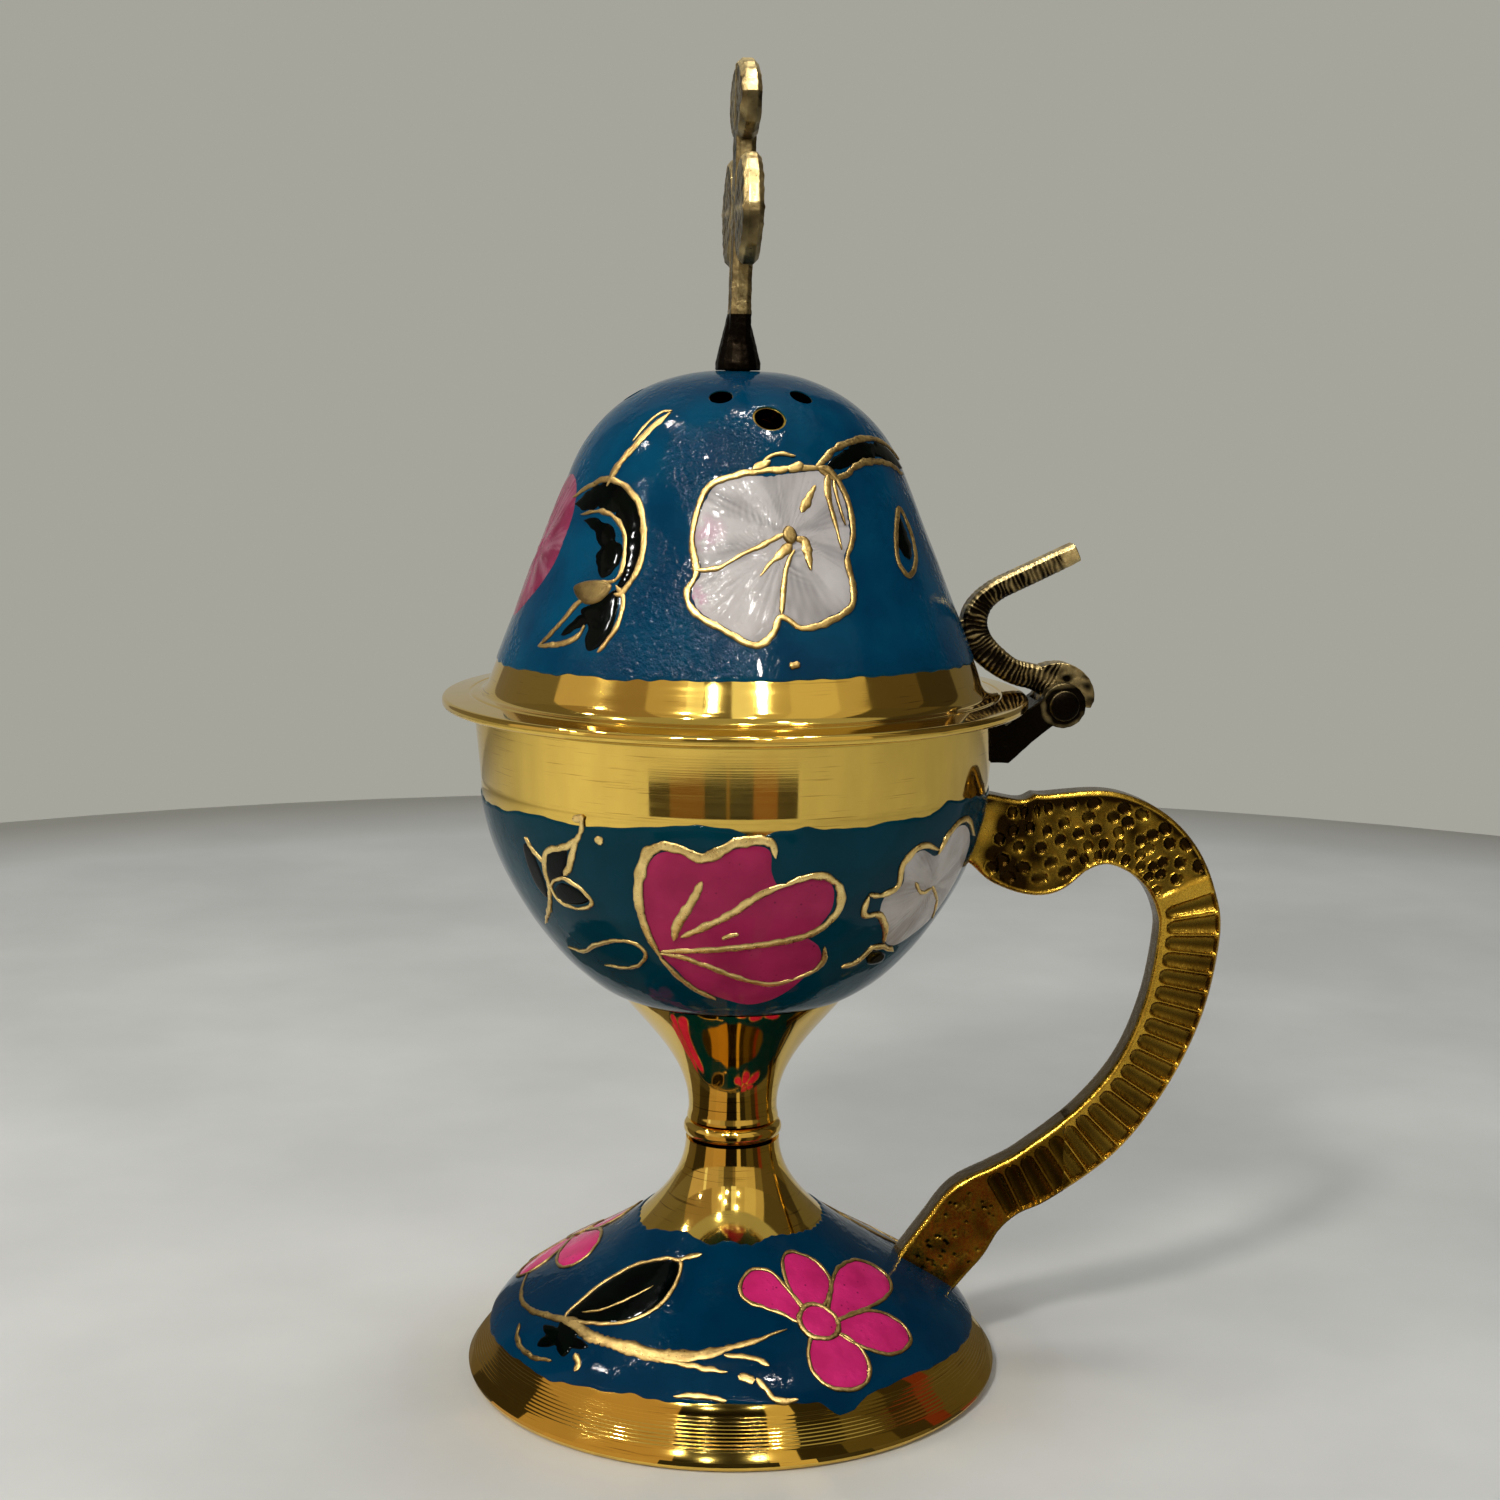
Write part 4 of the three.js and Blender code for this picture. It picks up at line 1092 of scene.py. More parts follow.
@dataclass
class Bowl:
    """The cup: a flat seat, a round enamelled belly and a plain polished band."""

    base: float = 50.2
    seat_radius: float = 8.0
    turn_radius: float = 15.4
    turn_height: float = 1.64
    band_radius: float = 32.8
    band_height: float = 29.8
    rim_radius: float = 33.6
    height: float = 39.0
    wall: float = 1.7
    edge: float = 0.4
    bore: float = 2.75
    lean: float = 19.4
    columns: int = 320
    turns: tuple = (0, 180)

    def profile(self) -> Profile:
        """The outer line from the seat to the rim."""
        turn = (self.turn_radius, self.base + self.turn_height)
        band = (self.band_radius, self.base + self.band_height)
        rim = (self.rim_radius, self.base + self.height - self.edge)
        parts = [
            bend((self.seat_radius, self.base), 0, 3, turn, self.lean, 3, 24),
            bend(turn, self.lean, 7, band, 90, 11.4, 90)[1:],
            np.linspace(band, rim, 24)[1:],
        ]
        return Profile(np.vstack(parts))

    def shell(self) -> Surface:
        """The whole wall: the outer line, a rounded rim, and the line moved in by the wall."""
        outer = self.profile().points
        inner = moved(outer, self.wall)[::2]
        inner[0] = (self.seat_radius, self.base + self.wall)
        top = self.base + self.height
        middle = (outer[-1, 0] + inner[-1, 0]) / 2
        rim = bend(outer[-1], 90, 0.3, (middle, top), 180, 0.5, 8)[1:]
        fall = bend((middle, top), 180, 0.5, (inner[-1, 0], top - self.edge), 270, 0.3, 8)[1:]
        start, end = [(self.bore, self.base)], [(self.bore, self.base + self.wall)]
        return turned(np.vstack([start, outer, rim, fall, inner[:-1][::-1], end]), self.columns)

    def build(self) -> None:
        """Makes the shell, its coat and its flowers."""
        add_piece("bowl_shell", self.shell(), POLISHED, Body.BASE, Slot.POLISHED, ("bowl",), LATHE_CREASE)
        chart = Chart(self.profile())
        lower = [(angle, 7.9) for angle in range(-180, 180, 30)]
        upper = [(-175, 40.1), (-156, 40.2), (-142, 40.8), (-134, 40.2), (-120, 40.8), (-112, 41.2),
                 (-105, 41.8), (-98, 41.2), (-93, 40.1), (-89, 40.7), (-82, 41.3), (-78, 40.8), (-69, 40.7),
                 (-60, 41.2), (-51, 41.0), (-45, 42.3), (-22, 41.2), (10, 40.6), (40, 41.2), (66, 40.2),
                 (95, 41.4), (120, 40.6), (150, 41.3)]
        add_piece("bowl_enamel", chart.coat(lower, upper), SHADED_BOWL_TEAL, Body.BASE, Slot.ENAMEL)
        lines = []
        for turn in self.turns:
            lines += self.shell_flower_lines(chart, turn)
            lines += self.stem_lines(chart, turn) + self.side_lines(chart, turn)
        add_piece("bowl_lines", merged(lines), LIT_BOWL_LINES, Body.BASE, Slot.POLISHED)
        shell = [(-117.4, 22.6), (-118.9, 27), (-119, 31), (-117.6, 35.2), (-114.8, 38.2), (-110, 38.8),
                 (-103.4, 37.6), (-98, 39.2), (-93, 39.8), (-89.6, 38.8), (-89, 36), (-86.4, 34), (-80, 34.9),
                 (-75, 33.9), (-72.6, 30.6), (-74.8, 28), (-78.4, 26.2), (-74.2, 24), (-72, 21), (-75, 18.6),
                 (-78.6, 15.6), (-84, 13.2), (-92, 12.2), (-102, 14), (-110, 16.6), (-114, 19.5)]
        pink = [chart.patch(shell, turn, root=(-117, 24), folds=9, fold_depth=0.05, streaks=0.3)
                for turn in self.turns]
        add_piece("bowl_shell_flowers", merged(pink), BOWL_PINK, Body.BASE, Slot.MAGENTA)
        white = [(-61, 31), (-56.5, 32.5), (-57, 35.6), (-52.5, 37), (-46.5, 35.8), (-42, 38.4), (-36, 38.8),
                 (-29, 36), (-27.5, 31), (-30, 25.4), (-38, 22.8), (-46, 21.4), (-53, 23), (-55, 25.4),
                 (-60, 27.6)]
        pale = [chart.patch(white, turn, root=(-43, 31), folds=5, fold_depth=0.12, streaks=0.4)
                for turn in (0, 178)]
        add_piece("bowl_white_flowers", merged(pale), WHITE, Body.BASE, Slot.WHITE)
        dark = [
            [(-143.4, 35.4), (-139, 37.2), (-135.4, 37.2), (-137, 34.6), (-140, 32.6), (-144, 31.8)],
            [(-144, 30.4), (-140, 32.2), (-135, 31.6), (-132.6, 30.2), (-137, 29.2), (-142, 29.2)],
            [(-151, 36.2), (-147.5, 36.2), (-146, 32), (-148, 29), (-151, 31)],
            [(-59, 22.4), (-54, 21.8), (-48, 20.4), (-47, 18.8), (-54, 19.2)],
        ]
        leaves = [chart.patch(leaf, turn) for turn in self.turns for leaf in dark]
        add_piece("bowl_leaves", merged(leaves), DARK, Body.BASE, Slot.DARK)

    def shell_flower_lines(self, chart: Chart, turn: float) -> list[Surface]:
        """The shell flower's border, the borders of its lower lobes, and its rays."""
        strokes = [
            ([(-116.5, 22), (-118.5, 26), (-119, 31), (-117.5, 35.2), (-114.8, 38.2), (-110, 38.8),
              (-103.4, 37.6), (-98, 39.2), (-93, 39.9), (-89.5, 39.4), (-88.6, 37.6)], 1.3),
            ([(-87, 33.8), (-83, 34.8), (-78, 35), (-74, 33.6), (-72.4, 30.6), (-74.6, 28), (-79, 26.4),
              (-85, 25.6), (-98, 24.6), (-108, 24.0), (-116, 23.6)], 1.1),
            ([(-112, 25.6), (-110.6, 28), (-108, 30.4), (-105.8, 32.4), (-104, 34.6)], 1.23),
            ([(-110, 26.2), (-104, 28), (-98, 30), (-92, 32.6), (-86, 34.2)], 1.17),
            ([(-116.5, 23.2), (-110, 22.6), (-103, 21), (-95, 19), (-86, 17.7), (-79.6, 18.4)], 0.91),
            ([(-79.6, 18.4), (-74, 19.8), (-72, 21.6), (-73.4, 24.2)], 0.78),
            ([(-117, 22.4), (-113.4, 19), (-109, 16.4), (-103, 14.4)], 0.78),
            ([(-100, 26.2), (-98, 26.8), (-96, 27)], 0.78),
        ]
        return chart.strokes(strokes, turn, 0.46)

    def stem_lines(self, chart: Chart, turn: float) -> list[Surface]:
        """The stem that grows from the band, its twigs and the loop under it."""
        strokes = [
            ([(-130.6, 41.6), (-130.8, 40), (-132.4, 38.6), (-136, 37.4), (-142, 36.2), (-144.4, 33.6),
              (-145, 31.2), (-148, 28.2), (-152, 26.2), (-157, 24.2)], 0.88),
            ([(-132.4, 38.6), (-134, 36.8), (-135.8, 34.8), (-138, 33.4)], 0.94),
            ([(-149, 37.6), (-147.4, 36.2), (-144, 34.6)], 0.69),
            ([(-152, 20.9), (-145, 20.8), (-137, 22.8), (-129, 24.3), (-123.4, 24.4), (-121, 22.6),
              (-125, 20.3), (-131, 19.3), (-138, 19.2)], 0.62),
            ([(-127.4, 39.2), (-125.6, 38.6)], 1.12),
            ([(-133, 41), (-130, 41.4)], 1.12),
        ]
        loop = [(-144, 31.4), (-139, 32.9), (-134, 31.8), (-132, 30), (-137, 28.7), (-143, 29.2)]
        return chart.strokes(strokes, turn, seed=20) + [chart.line(loop, 0.6, turn, closed=True, seed=31)]

    def side_lines(self, chart: Chart, turn: float) -> list[Surface]:
        """The broken border of the white flower at the side."""
        strokes = [
            ([(-65.4, 31.8), (-61, 31.4), (-57.4, 32.4), (-57.6, 35.4), (-53, 37.4), (-46.6, 36.4)], 0.91),
            ([(-46.4, 35.8), (-43, 38.4), (-36.4, 39.4), (-28.6, 36.4)], 0.78),
            ([(-65.4, 31.6), (-65, 28.8), (-60, 28.2), (-55.6, 25.6), (-53.6, 23.2)], 0.98),
            ([(-65, 19.8), (-60, 20.4), (-57, 22.6), (-53, 22.4), (-46, 21)], 0.98),
            ([(-52, 32.4), (-48, 30.6), (-44, 30.8)], 0.65),
            ([(-44, 31), (-38, 28.4), (-33, 25)], 0.65),
        ]
        return chart.strokes(strokes, turn, 0.46, 40)


# The lid


@dataclass
class Lid:
    """The bell lid: a brim, an enamelled flank and crown, and three groups of smoke holes."""

    base: float = 89.4
    brim_radius: float = 37.66
    brim_height: float = 1.3
    brim_crown: float = 0.45
    brim_edge: float = 0.45
    groove_gap: float = 0.9
    groove_width: float = 0.16
    groove_depth: float = 0.14
    foot_radius: float = 31.6
    cove: float = 1.5
    flank_radius: float = 20.96
    flank_height: float = 29.9
    crown_reach: float = 12.4
    height: float = 42.1
    wall: float = 1.6
    bore: float = 1.75
    zero: float = 1.05
    small_ring: float = 13.1
    small_radius: float = 1.4
    small_spread: float = 22.5
    large_ring: float = 16.3
    large_radius: float = 1.8
    first_hole: float = -83.5
    hole_groups: int = 3
    small_border: float = 0.08
    large_border: float = 0.26
    drill_reach: float = 5.0
    columns: int = 300
    turns: tuple = (0, 180)

    def profile(self) -> Profile:
        """The outer line from the cove's foot to the crown."""
        brim_top = self.base + self.brim_height + self.brim_crown
        cove_foot = (self.foot_radius + self.cove, brim_top)
        cove_top = (self.foot_radius, brim_top + self.cove)
        flank = (self.flank_radius, self.base + self.flank_height)
        lean = math.degrees(math.atan2(flank[1] - cove_top[1], flank[0] - cove_top[0]))
        top, reach = (self.bore, self.base + self.height), self.crown_reach - self.bore
        parts = [
            bend(cove_foot, 180, self.cove / 2, cove_top, lean, self.cove / 2, 16),
            np.linspace(cove_top, flank, 60)[1:],
            bend(flank, lean, 6.4, top, 180, reach, 70)[1:],
        ]
        return Profile(np.vstack(parts))

    def shell(self) -> Surface:
        """The whole wall with its brim, whose top has a fine groove and a rounded edge."""
        outer = self.profile().points
        inner = moved(outer[16:], self.wall)
        top, edge, side = self.base + self.brim_height, self.brim_edge, self.brim_radius
        rim = bend((side - edge, self.base), 0, edge / 2, (side, self.base + edge), 90, edge / 2, 6)
        over = bend((side, top - edge), 90, edge / 2, (side - edge, top), 180, edge / 2, 6)
        slope = np.linspace(over[-1], outer[0], 40)[1:-1]
        slope[:, 1] -= self.groove_depth * hump(slope[:, 0], outer[0, 0] + self.groove_gap, self.groove_width)
        crown, foot = [(self.bore, inner[-1, 1])], [(inner[0, 0], self.base)]
        closed = np.vstack([rim, over, slope, outer, crown, inner[:-1][::-2], foot])
        return turned(closed, self.columns)

    def holes(self, through_coat: bool) -> Surface:
        """Drills square to the lid's face at each smoke hole, wider where they pass the coat."""
        chart = Chart(self.profile())
        small = (self.small_ring, self.small_radius, self.small_border)
        wanted = [(-self.small_spread, *small), (self.small_spread, *small),
                  (0.0, self.large_ring, self.large_radius, self.large_border)]
        drills = []
        for group in range(self.hole_groups):
            middle = self.first_hole + 360 * group / self.hole_groups
            for aside, ring, radius, border in wanted:
                rise = np.interp(-ring, -chart.profile.points[:, 0], chart.profile.distance)
                drills.append(self.drill(chart, middle + aside, rise, radius + border * through_coat))
        return merged(drills)

    def drill(self, chart: Chart, angle: float, rise: float, radius: float) -> Surface:
        """A cylinder along the outward direction at one place of the lid."""
        centre = chart.place(angle, rise)
        out, up = chart.profile.outward(rise)
        turn = math.radians(angle)
        axis = np.array([out * math.cos(turn), out * math.sin(turn), up])
        side = np.array([-math.sin(turn), math.cos(turn), 0.0])
        around = whole_turn(48)[:, None]
        circle = centre + radius * (np.cos(around) * side + np.sin(around) * np.cross(axis, side))
        ends = [circle + way * self.drill_reach * axis for way in (-1, 1)]
        return close_rows(np.stack(ends), Ends.POLES)

    def build(self) -> None:
        """Makes the shell and coat with their holes, and the flowers."""
        bell, look = self.shell(), (POLISHED, Body.LID, Slot.POLISHED)
        cut_away(add_piece("lid_bell", bell, *look, ("lid_shell",), LATHE_CREASE), self.holes(False))
        chart = Chart(self.profile())
        lower = [(-166, 4.9), (-144, 5.4), (-129, 5.6), (-113, 5.8), (-89, 5.9), (-69, 6.1), (-48, 5.8),
                 (-17, 5.3), (15, 5.7), (60, 5.4), (100, 6.0), (140, 5.5)]
        upper = [(angle, chart.profile.length - 0.9) for angle in range(-180, 180, 45)]
        coat = add_piece("lid_enamel", chart.coat(lower, upper), TEAL, Body.LID, Slot.ENAMEL)
        cut_away(coat, self.holes(True))
        lines = []
        for turn in self.turns:
            lines += self.flower_lines(chart, turn) + self.leaf_lines(chart, turn)
        add_piece("lid_lines", merged(lines), LINES, Body.LID, Slot.POLISHED)
        self.patches(chart)

    def up(self, knots: list) -> list:
        """Knots measured from the cove's middle, as distances up the profile."""
        return [(angle, rise + self.zero, *width) for angle, rise, *width in knots]

    def border(self) -> list:
        """The white flower's outline."""
        return self.up([
            (-67.4, 30.9), (-78, 30.9), (-90, 30.6), (-98, 30), (-105.6, 28.8), (-108.8, 26), (-109.8, 22),
            (-107.8, 18), (-109.8, 15.6), (-107.6, 13.2), (-100, 11), (-93, 9.2), (-88.6, 10.4), (-86, 12.6),
            (-81, 11.2), (-76, 11.6), (-67.4, 13.4), (-65.2, 16), (-65.2, 19.5), (-61.4, 22.5), (-60.4, 26.5),
            (-63.4, 29.9)])

    def patches(self, chart: Chart) -> None:
        """White flowers, dark leaves and the pink flower of the lid."""
        root = (-82, 22.8 + self.zero)
        whites = [chart.patch(self.border(), turn, root=root, folds=6, fold_depth=0.16, streaks=0.45)
                  for turn in self.turns]
        add_piece("lid_white_flowers", merged(whites), LID_WHITE, Body.LID, Slot.WHITE)
        crescents = [
            [(-158, 25.6, 1.6), (-151, 26.3, 3.3), (-144, 27.1, 3.8), (-136, 26.5, 3.6), (-130, 24.3, 3.2),
             (-127.5, 21.8, 2.8), (-126.6, 19.2, 2.8), (-127.5, 17, 2.4), (-129.5, 15.5, 1.2)],
            [(-149.5, 23.7, 0.8), (-145, 23.5, 1.5), (-141, 22.9, 2.4), (-137.5, 21.8, 3.2),
             (-135.3, 20, 3.9), (-135, 18.2, 3.9), (-135.4, 16.8, 2.4)],
            [(-66, 31, 0.9), (-60, 31.6, 1.9), (-52, 32.6, 2.3), (-44, 33.1, 2.3), (-33, 32.9, 2.5),
             (-24, 31.8, 2.4), (-16, 30.2, 1.4)],
            [(-37.8, 24.2, 1.2), (-39.8, 21, 3.0), (-40.2, 18.8, 1.8)],
            [(-135.5, 11.4, 1.4), (-139, 11.2, 1.6), (-142, 10.1, 1.3), (-144, 9.2, 0.6)],
        ]
        crescents = [(self.up(path), 0) for path in crescents]
        leaves = [leaf for turn in self.turns for leaf in chart.strokes(crescents, turn, 0.3)]
        tail = self.up([(-140, 12.6), (-135, 13.8), (-132, 15), (-129.6, 15.6), (-128, 14.2), (-128, 11.7),
                        (-129.2, 9.2), (-132, 7.8), (-134.4, 7.6), (-136, 9), (-136, 10.6)])
        leaves += [chart.patch(tail, turn, 0.32) for turn in self.turns]
        add_piece("lid_leaves", merged(leaves), DARK, Body.LID, Slot.DARK)
        pink = self.up([(-161, 28), (-157, 25), (-156, 21), (-160, 16), (-169, 11.4), (-180, 9.6), (-189, 11),
                        (-196, 15.6), (-197, 21.6), (-191, 26.4), (-182, 28.6), (-174, 29.6), (-167, 29.4)])
        bloom = [chart.patch(pink, 0, root=(-176, 20), folds=8, fold_depth=0.14, streaks=0.5)]
        add_piece("lid_pink_flower", merged(bloom), LID_PINK, Body.LID, Slot.MAGENTA)

    def flower_lines(self, chart: Chart, turn: float) -> list[Surface]:
        """The white flower's border, boss and rays, and the arc over it."""
        strokes = [
            [(-83, 22.9, 1.0), (-90, 21.4, 0.7), (-97, 19.9, 0.55), (-102, 18.6, 0.6), (-108, 18.2, 0.9)],
            [(-81.6, 21.6, 1.5), (-84, 20.6, 1.2), (-87.4, 19.4, 0.8), (-91, 17.6, 0.3)],
            [(-81, 20.9, 0.8), (-83, 19.4, 0.6), (-84.6, 17, 0.7), (-86, 12.8, 1.1)],
            [(-80.4, 22.2, 1.0), (-77.8, 21.8, 1.3), (-77.2, 20.2, 1.3), (-77, 18.2, 0.5)],
            [(-71.6, 28.7, 0.6), (-74.4, 27.2, 1.1), (-77.6, 25.4, 1.3)],
            [(-66.4, 30, 1.4), (-67.6, 27.4, 0.9), (-67, 24, 0.6), (-66.6, 20.6, 0.3)],
            [(-64.6, 29.4, 0.6), (-64.4, 26.4, 0.5), (-63.6, 23.6, 0.3)],
            [(-89, 31.2, 0.4), (-87, 32.2, 0.5), (-82, 32.8, 0.5), (-77, 32.4, 0.5)],
            [(-92, 30.8, 1.0), (-86, 31.8, 1.1)],
            [(-80.6, 30.8, 1.1), (-74.6, 31.3, 1.2)],
            [(-85, 6.6, 1.0), (-82.6, 7.0, 1.1)],
        ]
        boss = self.up([(-84.2, 22.8), (-82.6, 23.8), (-80.4, 23.4), (-79.8, 22.2), (-81.6, 21.4),
                        (-83.4, 21.8)])
        lines = chart.strokes([(self.up(path), 0) for path in strokes], turn, 0.5)
        lines.append(chart.line(self.border(), 0.85, turn, closed=True, crest=0.42, seed=60))
        lines.append(chart.patch(boss, turn, 0.75))
        return lines

    def leaf_lines(self, chart: Chart, turn: float) -> list[Surface]:
        """The bud's stem and loop, the crescents' borders, and the borders of the side leaves."""
        strokes = [
            ([(-143.4, 28.2), (-142, 30.2), (-139.6, 32), (-137, 33.5), (-133, 36.2), (-127.6, 38.8)], 1.1),
            ([(-138.6, 34.2), (-136.4, 36.8), (-132.4, 38.8), (-127.2, 39.2)], 0.5),
            ([(-161, 26.4), (-154, 27.9), (-144, 29.1), (-135, 28.3), (-128, 25.9), (-125, 22.9),
              (-124, 20.2), (-125, 17.4), (-128, 15.1), (-130, 14.9)], 0.9),
            ([(-152, 24.4), (-144, 25), (-137, 24.5), (-132, 22.8), (-130, 20.8), (-129.4, 18), (-131, 16.5),
              (-135, 16.4)], 0.65),
            ([(-151.6, 7.4), (-148, 9.3), (-145, 11.1), (-142, 13.1), (-140, 13.9)], 0.8),
            ([(-151.6, 7.4), (-146, 7.9), (-141, 8.5), (-138, 9.5), (-137, 10.7)], 0.8),
            ([(-130, 15.9), (-127, 14.3), (-127, 11.5), (-129, 9.2), (-131, 7.6)], 0.7),
            ([(-70, 31.2), (-66, 32), (-61, 33.2), (-50, 34.4), (-36, 34.7), (-24, 33.6), (-14, 31.4)], 0.95),
            ([(-69.6, 31), (-65, 29.8), (-59, 29.9), (-53, 31.1), (-44, 31.6), (-31, 31), (-20, 29.4)], 0.85),
        ]
        heart = self.up([(-145, 15.3), (-141, 16.2), (-135, 16.5), (-131.6, 16), (-132, 14.8), (-134, 13.8),
                         (-138, 13.3), (-142, 13.9)])
        side = self.up([(-35.8, 25.4), (-42.6, 22.4), (-46, 18.8), (-43, 16.9), (-37, 18.4), (-33.6, 21.8)])
        lines = chart.strokes([(self.up(path), width) for path, width in strokes], turn, seed=70)
        lines.append(chart.patch(heart, turn, 0.5))
        lines.append(chart.line(side, 0.85, turn, closed=True, seed=90))
        return lines


def cut_away(piece: bpy.types.Object, drills: Surface) -> None:
    """Cuts drills out of a piece and keeps the result as its mesh.

    Args:
        piece: what is cut; its mesh is changed.
        drills: the closed surfaces that are taken away.
    """
    cutter = put("drills", make_mesh("drills", drills, LATHE_CREASE))
    cut = piece.modifiers.new("holes", "BOOLEAN")
    cut.operation = "DIFFERENCE"
    cut.solver = "EXACT"
    cut.object = cutter
    ready = piece.evaluated_get(bpy.context.evaluated_depsgraph_get())
    mesh = bpy.data.meshes.new_from_object(ready)
    piece.modifiers.clear()
    piece.data = mesh
    mesh.set_sharp_from_angle(angle=math.radians(CREASE))
    bpy.data.objects.remove(cutter)


# The cross


@dataclass
class Cross:
    """The cast cross: pointed lobes with a veined leaf on each, a flared foot and hammered faces."""

    base: float = 131.7
    arm_height: float = 19.7
    height: float = 38.3
    arm_reach: float = 11.5
    lobe_length: float = 10.0
    vein_pitch: float = 2.1
    vein_slant: float = 0.8
    rib_width: float = 0.42
    boss_radius: float = 1.2
    ring_radius: float = 2.1
    ring_width: float = 0.3
    ring_share: float = 0.7
    boss_reach: float = 3.0
    shaft_width: float = 0.4
    relief_height: float = 0.16
    relief_sink: float = 0.1
    drawing_foot: float = 7.5
    # The foot below this height keeps a small share of its relief, so it is darker. Of the weights below, the
    # one for faces turned up paints light from above; the rest are wear.
    dark_foot_height: float = 7.0
    dark_foot_share: float = 0.05
    base_wear: float = 0.22
    drawing_wear: float = 0.45
    hammer_wear: float = 0.16
    top_light: float = 0.6
    edge_wear: float = 0.1
    seat: float = 0.3
    voxel: float = 0.13

    def relief(self, across: Array, up: Array) -> Array:
        """The faces' relief, from -1 to 1, at places of the flat drawing.

        Each lobe has a midrib, a bright ridge exp(-(d / w)^2) along its own axis, and side veins, a
        cosine of along - 0.8 |across|. A round boss with a ring sits where the arms meet.
        """
        height = up - self.arm_height
        veins = np.zeros(across.shape)
        top = self.height - self.arm_height
        lobes = [(across, height, top), (height, across, self.arm_reach), (height, -across, self.arm_reach)]
        for side, along, tip in lobes:
            start = tip - self.lobe_length
            inside = smooth_step(along, start + 0.6, start + 2.2)
            lines = 0.5 * np.cos(2 * math.pi * (along - self.vein_slant * np.abs(side)) / self.vein_pitch)
            drawn = np.maximum(hump(side, 0, self.rib_width), lines * (np.abs(side) > 0.5))
            veins = np.where(along > 1.5, inside * drawn, veins)
        spread = np.hypot(across, height)
        boss = np.exp(-((spread / self.boss_radius) ** 4))
        boss += self.ring_share * hump(spread, self.ring_radius, self.ring_width)
        shaft = (height < -self.boss_reach) * hump(across, 0, self.shaft_width)
        return np.maximum.reduce([veins, boss, shaft])

    def build(self) -> None:
        """Makes the cross from its casting's form, with relief and hammer marks on it."""
        blank, outward = cast_copy("cross_finial", self.voxel, 1)
        points = blank.points
        up = points[:, 2] - self.base
        level = np.abs(outward[:, 0])
        face = smooth_step(level, 0.75, 0.95) * (up > self.drawing_foot)
        drawn = self.relief(points[:, 1], up)
        marks = ripple(points * [0.6, 1, 1], 2.2, 3)
        lift = face * (self.relief_height * drawn - self.relief_sink) + (0.03 + 0.04 * face) * marks
        lift = np.where(up > self.seat, lift + 0.02 * ripple(points, 0.9, 4), 0)
        blank.points = points + outward * lift[:, None]
        facet = 1 - smooth_step(level, 0.85, 0.97)
        # Faces turned up are lighter: painted light from above.
        bright = smooth_step(outward[:, 2], -0.15, 0.35) * facet
        wear_and_light = self.base_wear + self.drawing_wear * drawn * face + self.hammer_wear * marks
        wear_and_light = np.clip(wear_and_light + self.top_light * bright + self.edge_wear * facet, 0, 1)
        # Below a height the relief keeps a small share: darker towards the bottom.
        blank.relief = np.where(up < self.dark_foot_height, wear_and_light * self.dark_foot_share, wear_and_light)
        add_piece("cross_casting", blank, ANTIQUE, Body.LID, Slot.ANTIQUE, ("cross_finial",), CAST_CREASE)


# The hinge


